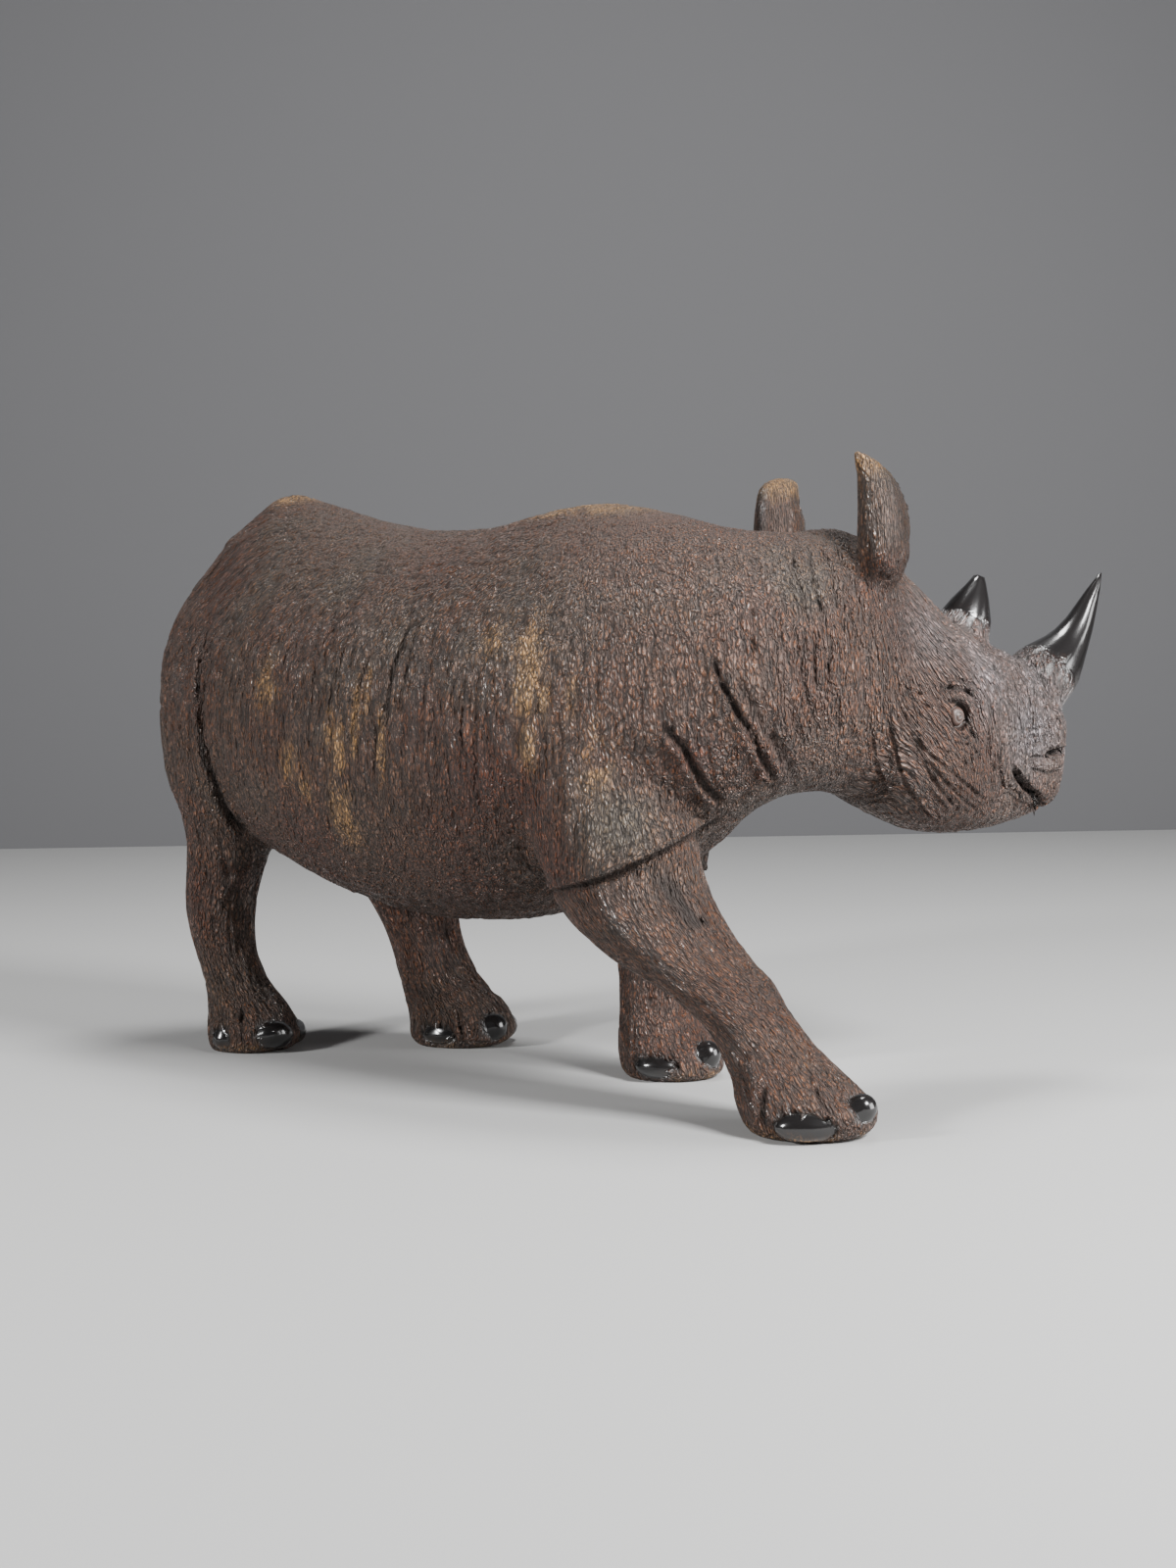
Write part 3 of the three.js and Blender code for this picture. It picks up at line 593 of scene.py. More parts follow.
headLines = {
    # distances ahead, out from the middle and above ground
    "lidGroove": [2.0, 3.2, 0.3, 0.2, [
        [35, 51.7, 228.2], [44.6, 50.7, 229.3], [54.4, 49, 228.6], [61.9, 47.2, 225.9], [68.5, 45, 221.2],
        [70.6, 44.6, 215.6], [72.9, 43, 208.4], [76, 43.9, 202.8]]],
    "lidBand": [1.9, -0.9, 0.0, 0.0, [
        [33.6, 52.7, 224.5], [43.6, 52, 225.3], [52.1, 51.3, 224.4], [58.8, 49.4, 221.4], [62.4, 48.4, 215.9],
        [64.2, 47.8, 209.2], [69.3, 46.1, 201.9], [77.2, 43, 196.5]]],
    "underLid": [1.5, 2.2, 0.0, 0.0, [
        [36, 52.5, 221.4], [42.9, 52.1, 222.1], [51.4, 51.3, 221.3], [58, 49.5, 218.2], [60.5, 48.6, 212.6],
        [61.4, 48.2, 207.1], [66.7, 46.5, 200.9], [74.8, 43.6, 195.9]]],
    "lowerLid": [1.0, -0.7, 0.0, 0.0, [
        [36, 52.5, 221.4], [42.9, 52.1, 218.5], [45.8, 51.5, 212.5], [49.1, 50.5, 207.5], [54.3, 49.7, 204.6],
        [60.8, 48.2, 203], [67.7, 45.9, 199.2], [75.8, 43.1, 194.2]]],
    "lowerGroove": [1.1, 0.9, 0.0, 0.2, [
        [32, 52.5, 219.3], [39.3, 52.3, 215.9], [42.4, 51.7, 209.9], [46.2, 50.8, 204.8], [53.8, 49.5, 201.6],
        [60.3, 47.8, 200], [67.4, 45.5, 195.4]]],
    "brow1": [1.3, 1.2, 0.2, 0.3, [[12.8, 51.6, 238.5], [24.1, 52.7, 231.3], [33.7, 52.7, 227.4]]],
    "brow2": [1.2, 1.0, 0.2, 0.3, [[10.3, 51.4, 232.7], [21.9, 52.3, 227.6], [32.7, 52.6, 224.2]]],
    "brow3": [1.2, 1.0, 0.2, 0.3, [
        [16.5, 51.7, 224.5], [25.5, 52.6, 221.1], [33.3, 52.5, 217.7], [38.9, 52, 210.5]]],
    "brow4": [1.2, 1.0, 0.2, 0.3, [
        [12.7, 50.5, 219.2], [22.7, 51.9, 215.8], [31.1, 51.9, 210.7], [37.9, 51.4, 203.5]]],
    "brow5": [1.3, 0.9, 0.3, 0.2, [
        [37.6, 52.3, 232.7], [49.3, 51.5, 234.1], [61.6, 48.3, 231.8], [72.3, 44.5, 226.1],
        [77.1, 43.4, 217.7]]],
    "under1": [1.3, 1.1, 0.3, 0.2, [
        [37.3, 51.3, 202.4], [47.4, 50, 199.1], [61.5, 47.1, 196.7], [71.7, 43.5, 189.1], [78.2, 40.7, 183.8]]],
    "under2": [1.3, 1.0, 0.3, 0.2, [
        [33.4, 50.2, 197.1], [45.8, 49.4, 193.4], [58.9, 46, 187.4], [72.5, 40.1, 178.4]]],
    "cheek1": [1.5, 1.3, 0.4, 0.4, [
        [10.4, 51.2, 224.6], [14.6, 50.6, 218.1], [19.8, 50.3, 206.6], [26.4, 48.8, 195.6], [36, 45.3, 182.1],
        [50.6, 38.2, 169.2], [67.7, 29.7, 158.7]]],
    "cheek2": [1.4, 1.1, 0.4, 0.3, [
        [5.4, 48.9, 212.4], [12.1, 45.2, 198.1], [23.8, 38.2, 177.4], [38.5, 31, 164.4], [56.2, 22, 153.2]]],
    "cheek3": [1.4, 1.2, 0.4, 0.3, [
        [17.6, 50.9, 215.9], [22.7, 50.9, 205.8], [33.2, 47.6, 189.4], [46.7, 43.8, 177.7], [68.3, 34.3, 164.2],
        [85.3, 26.1, 157.2]]],
    "cheek4": [1.3, 1.0, 0.3, 0.3, [
        [28.1, 49.9, 198.3], [35.8, 48.6, 191.5], [50, 45.2, 182.2], [67.5, 38.9, 171.9], [88.5, 29.2, 162.3]]],
    "cheek5": [1.5, 1.0, 0.3, 0.3, [
        [-2.8, 46.7, 207.2], [4.1, 38.9, 190.6], [17.1, 28.9, 173.5], [33.2, 19.6, 159.7]]],
    "cheek7": [1.2, 0.9, 0.3, 0.2, [[41.4, 48.1, 189.7], [58.6, 42.5, 177.9], [79.5, 34.1, 167.3]]],
    "nose1": [1.3, 1.0, 0.3, 0.3, [
        [86.9, 40.3, 214.1], [84.8, 41.2, 204.7], [85.1, 40.7, 196.4], [88.1, 38.5, 187.3], [92.9, 35.3, 177.7],
        [99.6, 30.2, 169.2]]],
    "nose2": [1.2, 0.9, 0.2, 0.2, [[77.6, 43.6, 210.5], [78, 43, 197.7], [82.1, 40.1, 186.4], [89.1, 35.1, 175.4]]],
    "corner1": [1.1, 1.0, 0.4, 0.4, [
        [90.2, 37.3, 182.2], [93.9, 33.9, 174.6], [103.5, 27.8, 166.7], [115.5, 22.1, 161.6],
        [129.9, 15.2, 159.9]]],
    "corner2": [1.1, 1.1, 0.4, 0.4, [
        [95.5, 35.2, 180.8], [98.9, 32.1, 174.4], [104.9, 29.5, 169.7], [118.3, 23, 165]]],
    "corner3": [1.0, 1.0, 0.3, 0.4, [
        [101.8, 32.9, 179.3], [105, 30.5, 174.6], [111.5, 27.4, 170.3], [120.2, 23.3, 166.9]]],
    "muzzle1": [1.1, 0.8, 0.3, 0.3, [
        [105.7, 34.4, 199.8], [120.2, 30, 200.2], [132.8, 27.2, 199.2], [144, 21, 200]]],
    "muzzle2": [1.1, 0.8, 0.3, 0.3, [
        [99.2, 36.6, 202.9], [115.2, 31.6, 204.5], [130.2, 27.2, 205], [144, 21, 205]]],
    "muzzle3": [1.1, 0.7, 0.3, 0.3, [[107.8, 33.5, 208.9], [124, 28.6, 208.5], [138.6, 25, 208.7], [146, 18, 209]]],
    "muzzle4": [1.1, 0.8, 0.3, 0.3, [[96.7, 37.2, 197.6], [113.1, 31.9, 195.3], [126.9, 28.6, 195.7]]],
    "nostril": [2.9, 6.5, 0.0, 0.0, [[128.6, 26.4, 187.7], [138, 23.5, 189.8], [144.1, 21, 190.5], [149, 16, 191]]],
    "nostrilTail": [1.6, 2.2, 0.2, 0.2, [[114.2, 31, 186.8], [122.2, 29.1, 187.9], [130.1, 26.3, 187.8]]],
    "nostrilRim": [1.5, -1.3, 0.0, 0.0, [
        [120.6, 29.4, 190.4], [127.5, 27.9, 193], [134.2, 26.5, 194.6], [143, 21, 194.8], [148, 16, 195]]],
    "lipRidge": [1.8, -1.2, 0.0, 0.0, [
        [112.4, 30.9, 184.6], [121.2, 28.6, 184.8], [130.2, 26.1, 183.8], [139.2, 23.6, 183.7],
        [147, 18, 184]]],
    "lipCrease": [1.7, 2.3, 0.2, 0.2, [
        [114.8, 30.1, 181.9], [125.1, 26.9, 180], [134.1, 23.8, 178.2], [142.3, 21.5, 178.9], [148, 17, 179]]],
    "mouth": [2.8, 7.0, 0.3, 0.5, [
        [103, 33, 182], [107, 31, 178], [113, 26, 173.5], [121, 22, 168.5], [130, 18, 164.5], [138, 9, 160],
        [142, 0, 158]]],
    "earEdge": [1.5, 1.3, 0.0, 0.3, [
        [18.8, 54, 306], [19.2, 53.8, 320], [16.3, 52.7, 333], [12.4, 51.2, 342], [7.6, 49.1, 349],
        [1.2, 46.9, 354]]],
    "hornCrack": [0.7, 0.6, 0.0, 0.2, [[139, 10, 250], [146, 12, 246.5], [153, 13, 241], [160, 12, 234]]],
    "hornRing": [0.8, 0.7, 0.0, 0.2, [
        [133, 19, 232.5], [137.3, 19.2, 229.4], [141.9, 20.1, 225.4], [148.4, 17.6, 221]]],
}
# place on the head, and in mm the radius of the ball, of its socket, how deep and high they are, and the iris
eye = {"at": [53.5, 50.5, 213.2], "ball": 5.6, "socket": 8.6, "depth": 4.2, "rise": 4.0, "ring": 2.6, "pupil": 1.3}
bothSides = np.array([1.0, -1.0, 1.0])


def skinLines(bothHalves=True):
    # Every line with its numbers, on the side of the picture and mirrored onto the far side.
    for name, (width, depth, lipLeft, lipRight, points) in bodyLines.items():
        yield name, width, depth, lipLeft, lipRight, smoothLine(points)
        if bothHalves and not name.startswith(("neck", "poll")):
            yield name, width, depth, lipRight, lipLeft, smoothLine(points) * bothSides
    for name, (width, depth, lipLeft, lipRight, points) in footLines.items():
        yield name, width, depth, lipLeft, lipRight, smoothLine(points)
    for name, (width, depth, lipLeft, lipRight, points) in headLines.items():
        yield name, width, depth, lipLeft, lipRight, smoothLine(headPoints(points, -1))
        if bothHalves and not name.startswith("ear"):
            yield name, width, depth, lipRight, lipLeft, smoothLine(headPoints(points, 1))


carving = {
    "lip": (1.35, 0.55),  # place and spread of the lip beside a line, in its half widths
    "lineShade": (1.05, 0.4),  # where the painted shade of a line ends and where it is full, in its half widths
    "shadeDepth": 1.8,  # mm, the depth from which a line's painted shade is full
    "ends": 14.0,  # mm over which a line fades in and out, or less on a short one
}
nailRings = {
    # in shares of the nail's size: place, spread and depth of its edge
    "edge": (1.15, 0.08, 1.2),
    "first": 1.17,
    "apart": 0.3,
    "last": 1.95,
    "depth": 0.5,
}


def carveLines(points, normals):
    # How far each point sinks, and how dark its painted shade is, in the creases, eye rings and nail grooves.
    sink, shade = np.zeros(len(points)), np.zeros(len(points))
    for name, width, depth, lipLeft, lipRight, line in skinLines():
        lips = 2.6 * width if lipLeft or lipRight else 1.6 * width
        near, away, side, along, length = acrossLine(points, normals, line, lips)
        end = min(length * 0.3, carving["ends"])
        taper = smoothStep(along, -0.02 * length, end) * smoothStep(length - along, -0.02 * length, end)
        if name == "mouth":
            taper = smoothStep(along, -1, 4) * smoothStep(length - along, -1, 5)
        floor = np.maximum(0, 1 - (away / width) ** 1.5)
        place, spread = carving["lip"]
        lip = np.exp(-(((away - place * width) / (spread * width)) ** 2))
        sink[near] += taper * (depth * floor - lip * np.where(side > 0, lipRight, lipLeft))
        if depth > 0:
            # painted shade: the floor of the line is darkened, fully where the line is deep
            none, full = carving["lineShade"]
            lineShade = smoothStep(away, width * none, width * full) * min(1, depth / carving["shadeDepth"])
            shade[near] = np.maximum(shade[near], smoothStep(taper, 0, 0.6) * lineShade)
    for side in (-1, 1):
        away, hollow = eyeForm(points, side)
        sink += hollow
        # painted shade: a dark ring between the ball and the lids, a dark iris ring and a dark pupil
        gap = 0.9 * np.exp(-(((away - eye["ball"] - 0.8) / 1.1) ** 2))
        irisShade = 0.9 * np.exp(-(((away - eye["ring"]) / 0.5) ** 2))
        shade = np.maximum.reduce([shade, gap, irisShade, smoothStep(away, eye["pupil"], 0.7)])
    for leg in legs.values():
        for middle, axes in nailForms(leg):
            share = formShare(points, middle, axes)
            above = smoothStep(points[:, 2], middle[2] - 4, middle[2] + 2)
            rings = np.cos((share - nailRings["first"]) * 2 * np.pi / nailRings["apart"])
            rings = rings * smoothStep(share, nailRings["last"], 1.35) * smoothStep(share, 1.1, 1.2)
            place, spread, depth = nailRings["edge"]
            edge = np.exp(-(((share - place) / spread) ** 2))
            sink += depth * edge + nailRings["depth"] * above * rings
            # painted shade in the nail's edge groove and in its rings
            shade = np.maximum(shade, np.maximum(edge, 0.75 * above * np.maximum(0, rings)))
    return sink, shade


def eyeForm(points, side):
    # Distance from the middle of an eye over the skin, and how far the skin sinks round the ball.
    middle = onHead(eye["at"][0], side * eye["at"][1], eye["at"][2])
    gap = points - middle
    lift = gap @ (side * headLeft)
    away = np.linalg.norm(gap - np.outer(lift, side * headLeft), axis=1) + np.maximum(0, np.abs(lift) - 9) * 3
    ball = np.sqrt(np.maximum(0, 1 - (away / eye["ball"]) ** 2))
    ring = 0.5 * np.exp(-(((away - eye["ring"]) / 0.6) ** 2)) + 0.4 * smoothStep(away, eye["pupil"], 0.6)
    return away, eye["depth"] * smoothStep(away, eye["socket"], eye["ball"] * 0.9) - eye["rise"] * ball + ring


def limbMeasure(points, slices):
    # A limb's rows, how far each point is ahead and left of its middle there, and 1 where it is on its skin.
    rows = readRows(slices, stations(slices, 6))
    x, y, front, back, side = (np.interp(points[:, 2], rows[:, 2], rows[:, c]) for c in (0, 1, 3, 4, 5))
    dx, dy = points[:, 0] - x, points[:, 1] - y
    return rows, dx, dy, np.hypot(dx / np.where(dx > 0, front, back), dy / side)


def limbShares(points):
    # How much a point belongs to a leg, and its place along it as straight coordinates that join the body's.
    join = 131  # mm above ground
    share, grain = np.zeros(len(points)), np.zeros((len(points), 3))
    for leg in legs.values():
        rows, dx, dy, measure = limbMeasure(points, leg["slices"])
        run = np.concatenate([[0], np.cumsum(np.linalg.norm(np.diff(rows[:, :3], axis=0), axis=1))])
        here = smoothStep(measure, 1.5, 1.15) * smoothStep(points[:, 2], 150, 112)
        mine = here > share
        share = np.where(mine, here, share)
        joinX, joinY, joinRun = (np.interp(join, rows[:, 2], column) for column in (rows[:, 0], rows[:, 1], run))
        along = np.interp(points[:, 2], rows[:, 2], run) - joinRun + join
        grain[mine] = np.stack([dx + joinX, dy + joinY, along], -1)[mine]
    return share, grain


strokes = {
    "neckFrom": 105,  # mm ahead, where the neck begins to turn
    "outside": 48,  # mm out of the neck's middle, where its run is measured
    "lean": (20, 250, 42),  # over the back: mm back, level from which, mm of height
    "drop": 0.85,  # down and forward over the cheek
}


def skinGrain(points):
    # Straightened coordinates, without the turn of the neck and the lean of the legs: ahead, left and along the
    # carver's strokes.
    x, y, heading = trunkRows()[:3]
    chosen = np.flatnonzero(x > strokes["neckFrom"])[::4]
    heading = np.radians(heading[chosen])
    ahead = np.stack([np.cos(heading), np.sin(heading)], -1)
    middles = np.stack([x[chosen], y[chosen]], -1)
    gap = points[:, :2] - middles[0]
    past, left = gap @ ahead[0], gap @ [-ahead[0][1], ahead[0][0]]
    run, side = middles[0][0] + np.minimum(past, 0), left
    for i in range(1, len(chosen)):
        gap = points[:, :2] - middles[i]
        nextPast, nextLeft = gap @ ahead[i], gap @ [-ahead[i][1], ahead[i][0]]
        step = np.linalg.norm(middles[i] - middles[i - 1]) + strokes["outside"] * (heading[i] - heading[i - 1])
        share = np.clip(past / np.maximum(past - nextPast, 0.5), 0, 1)
        run = run + share * step
        side = side + share * (nextLeft - left)
        past, left = nextPast, nextLeft
    z = points[:, 2]
    headAt, _, head = headShares(points)
    back, level, height = strokes["lean"]
    lean = back * (np.maximum(0, z - level) / height) ** 2 * smoothStep(run, 130, 60)
    cheek = 1 - smoothStep(headAt, 50, 95)
    drop = strokes["drop"] * cheek * (z - 215) * smoothStep(headAt, -10, 30) * head
    grain = np.stack([run - lean + drop, side, z], -1)
    limb, limbGrain = limbShares(points)
    return grain + limb[:, None] * (limbGrain - grain)


def formShare(points, middle, axes):
    # Distance from an ellipsoid's middle, 1 on its skin.
    gap = points - middle
    return np.sqrt(sum((gap @ axis / (axis @ axis)) ** 2 for axis in axes))


def nearHorn(points, horn):
    # The points about a horn, the place each lies at, its distance there in radii, and the middle there.
    path, radii = hornPath(horn)
    at = stations(path, 6)
    line, radius = readRows(path, at), readRows(radii[:, None], at)[:, 0]
    near = np.flatnonzero(np.all((points > line.min(0) - 26) & (points < line.max(0) + 26), axis=1))
    ratio = np.linalg.norm(points[near, None] - line[None], axis=2) / radius
    best = np.argmin(ratio, axis=1)
    return near, at[best], ratio[np.arange(len(near)), best], line[best]


def hornShare(points):
    # 1 on a horn, fading out over its foot.
    found = np.zeros(len(points))
    for horn in horns.values():
        near, at, ratio, _ = nearHorn(points, horn)
        share = smoothStep(at, *horn["polish"]) * smoothStep(ratio, 1.6, 1.25)
        found[near] = np.maximum(found[near], share)
    return found


def fitHorns(points):
    # Draws the points of each horn onto its own round form.
    for horn in horns.values():
        near, at, ratio, middle = nearHorn(points, horn)
        pull = smoothStep(at, 0.1, 1.1) * smoothStep(ratio, 1.5, 1.2)
        if horn["cut"]:
            pull *= at < len(horn["rows"]) - 1.01
        drawn = middle + (points[near] - middle) / np.maximum(ratio, 0.2)[:, None]
        points[near] += pull[:, None] * (drawn - points[near])


def headShares(points):
    # Each point's distance ahead of the ears and left of the head's middle, and 1 where it is on the head.
    ahead = (points - headRoot) @ headAhead
    left = (points - headRoot) @ headLeft
    inside = smoothStep(ahead, -8, 22) * smoothStep(np.abs(left), 78, 64) * smoothStep(points[:, 0], 120, 160)
    return ahead, left, inside


def hemShares(points):
    # Height above the hem's plane, and how much a point belongs to that sleeve.
    for shoulder in shoulders.values():
        x, y, z, riseX, riseY = shoulder["hem"]
        rise = points[:, 2] - (z + riseX * (points[:, 0] - x) + riseY * (points[:, 1] - y))
        *_, measure = limbMeasure(points, shoulder["slices"])
        yield rise, smoothStep(measure, 1.25, 1.1)


def earShare(points):
    # 1 on the ears.
    _, left, _ = headShares(points)
    return smoothStep(points[:, 2], 300, 318) * smoothStep(np.abs(left), 22, 28) * smoothStep(points[:, 0], 100, 120)


def nailShare(points):
    # 1 on the nails.
    share = np.zeros(len(points))
    for leg in legs.values():
        for middle, axes in nailForms(leg):
            share = np.maximum(share, smoothStep(formShare(points, middle, axes), 1.12, 1.04))
    return share


# The skin, joined, softened, thinned and carved


def pointNormals(data):
    # The way out of the skin at each point.
    values = np.empty(len(data.vertices) * 3, np.float32)
    data.vertex_normals.foreach_get("vector", values)
    return values.reshape(-1, 3).astype(float)


def joinSkin():
    # All the lofts in one object, and one closed skin of small cubes' corners over them.
    lofts = [makeTrunk(), makeTail()]
    for leg in legs.values():
        lofts += makeLeg(leg)
    for shoulder in shoulders.values():
        lofts.append(makeShoulder(shoulder))
    for horn in horns.values():
        lofts.append(makeHorn(horn))
    for key in ("near", "far"):
        lofts.append(makeEar(ears[key]))
    rhino = meshObject("carved_rhinoceros", lofts)
    remesh = rhino.modifiers.new("skin", "REMESH")
    remesh.mode = "VOXEL"
    remesh.voxel_size = mesh["voxel"]
    finished(rhino)
    print("skin joined:", len(rhino.data.vertices), "points")
    return rhino


def soften(rhino, weight, rounds):
    # Each point moves towards the middle of its neighbours, as far as its weight lets it.
    group = rhino.vertex_groups.new(name="soft")
    levels = np.round(weight * 20).astype(int)
    for level in range(1, 21):
        group.add(np.flatnonzero(levels == level).tolist(), level / 20, "REPLACE")
    smooth = rhino.modifiers.new("soft", "SMOOTH")
    smooth.factor = 0.5
    smooth.iterations = rounds
    smooth.vertex_group = "soft"
    finished(rhino)
    rhino.vertex_groups.clear()


def softWeights(points):
    # 1 where the skin may be smoothed freely, less on the head, hems, feet, tail, ears and horns.
    ahead, _, head = headShares(points)
    weight = np.ones(len(points))
    weight = np.minimum(weight, 1 - 0.75 * head * smoothStep(ahead, 20, 60))
    foot = np.full(len(points), 0.3)
    for leg in legs.values():
        for middle, axes in nailForms(leg):
            foot = np.minimum(foot, 0.04 + 0.3 * smoothStep(formShare(points, middle, axes), 1.1, 1.5))
    weight = np.minimum(weight, foot + 0.7 * smoothStep(points[:, 2], 24, 60))
    weight = np.minimum(weight, 0.04 + smoothStep(points[:, 2], 0.5, 5))
    for rise, share in hemShares(points):
        weight = np.minimum(weight, 1 - share * 0.93 * smoothStep(np.abs(rise), 16, 7))
    tailNear = smoothStep(points[:, 0], -284, -291) * smoothStep(np.abs(points[:, 1]), 12, 8)
    weight = np.minimum(weight, 1 - 0.9 * tailNear)
    weight = np.minimum(weight, 1 - 0.95 * earShare(points))
    return np.minimum(weight, 1 - 0.95 * hornShare(points))


def edgesWanted(points, normals):
    # The length of edge wanted at each point: short beside the carved lines, shortest at the eyes.
    edges = mesh["edges"]
    wanted = np.full(len(points), 50.0)
    for name, width, *_, line in skinLines(bothHalves=False):
        near, *_ = acrossLine(points, normals, line, 1.2 * width + 1)
        wanted[near] = np.minimum(wanted[near], edges["head"] if name in headLines else edges["body"])
    for side in (-1, 1):
        away, _ = eyeForm(points, side)
        wanted[away < 14] = edges["aboutEye"]
        wanted[away < 10] = edges["eye"]
    return wanted


def dropFolds(rhino):
    # Faces laid over one another on the same three points are taken away in pairs.
    data = rhino.data
    faces = readArray(data.loops, "vertex_index", 1, np.int32).reshape(-1, 3)
    points = readArray(data.vertices, "co", 3)
    _, first, times = np.unique(np.sort(faces, axis=1), axis=0, return_index=True, return_counts=True)
    kept = faces[np.sort(first[times % 2 == 1])]
    used, kept = np.unique(kept, return_inverse=True)
    print("folded faces taken away:", len(faces) - len(kept.ravel()) // 3)
    data.clear_geometry()
    data.from_pydata(points[used], [], kept.reshape(-1, 3))
    data.update()


def refine(rhino):
    # Splits the edges that are too long for the carving, round after round.
    for _ in range(5):
        data = rhino.data
        points = readPoints(rhino)
        wanted = edgesWanted(points, pointNormals(data))
        ends = readArray(data.edges, "vertices", 2, np.int32)
        length = np.linalg.norm(points[ends[:, 0]] - points[ends[:, 1]], axis=1)
        chosen = np.flatnonzero(length > 1.5 * wanted[ends].min(axis=1))
        if len(chosen) == 0:
            break
        deep = bmesh.new()
        deep.from_mesh(data)
        deep.edges.ensure_lookup_table()
        bmesh.ops.subdivide_edges(deep, edges=[deep.edges[i] for i in chosen], cuts=1, use_grid_fill=True)
        bmesh.ops.triangulate(deep, faces=deep.faces)
        deep.to_mesh(data)
        deep.free()
        dropFolds(rhino)
        print("faces after splitting:", len(data.polygons))


def movePoints(rhino, points):
    # Puts the points back into the mesh.
    rhino.data.vertices.foreach_set("co", points.astype(np.float32).ravel())
    rhino.data.update()


hem = {
    # depth or height, place above the hem's plane, half width
    "groove": (2.4, -2.3, 1.9),
    "lip": (0.9, 1.7, 1.7),
}
uneven = {
    # size of the lumps in mm, seed, height
    "broad": ([9, 9, 15], 5, 0.5),
    "small": ([4, 4, 8], 6, 0.3),
    # on the grain: a winding groove runs where the sum of these is near 0
    "winding": ([4.6, 4.6, 26], 11, 1.0),
    "windingSmall": ([2.4, 2.4, 12], 12, 0.4),
    "grooveDepth": 1.2,
    "grooveWidth": 0.3,
}
knee = [203, -39, 76, 14, 4.5]  # place, reach, rise


def roughen(rhino):
    # The hems, and winding wrinkles along the grain.
    points = readPoints(rhino)
    normals = pointNormals(rhino.data)
    sink = np.zeros(len(points))
    for rise, share in hemShares(points):
        for sign, (depth, place, width) in ((1, hem["groove"]), (-1, hem["lip"])):
            sink += sign * share * depth * np.exp(-(((rise - place) / width) ** 2))

    def layer(at, name):
        size, seed, height = uneven[name]
        return height * lumps(at / size, seed)

    grain = skinGrain(points)
    winding = np.abs(layer(grain, "winding") + layer(grain, "windingSmall"))
    deep = layer(points, "broad") + layer(points, "small")
    deep += uneven["grooveDepth"] * np.maximum(0, 1 - winding / uneven["grooveWidth"])
    away, _ = eyeForm(points, -1)
    smooth = [hornShare(points), nailShare(points), 0.8 * earShare(points), smoothStep(away, 16, 9)]
    sink += deep * (1 - np.maximum.reduce(smooth)) * smoothStep(points[:, 2], 0, 8)
    points -= normals * sink[:, None]
    x, y, z, reach, rise = knee
    points += normals * (rise * np.exp(-np.sum((points - [x, y, z]) ** 2, axis=1) / reach**2))[:, None]
    points[:, 2] = np.maximum(points[:, 2], 0)
    movePoints(rhino, points)


def thin(rhino):
    # Fewer faces, most of them where the skin is rough.
    faces = sum(len(p.vertices) - 2 for p in rhino.data.polygons)
    decimate = rhino.modifiers.new("thin", "DECIMATE")
    decimate.ratio = min(1, mesh["faces"] / faces)
    finished(rhino)
    print("skin thinned:", len(rhino.data.polygons), "faces from", faces)


def carve(rhino):
    # Sinks the lines, eyes and nail rings, and gives the painted shade of each crease.
    points = readPoints(rhino)
    sink, shade = carveLines(points, pointNormals(rhino.data))
    points -= pointNormals(rhino.data) * sink[:, None]
    fitHorns(points)
    points[:, 2] = np.maximum(points[:, 2], 0)
    movePoints(rhino, points)
    return shade


rhino = joinSkin()
soften(rhino, softWeights(readPoints(rhino)), mesh["smoothing"])
print("softened")
roughen(rhino)
thin(rhino)
refine(rhino)
shade = carve(rhino)
print("carved")
made = rhino.data

# What the finish needs to know about each place of the skin

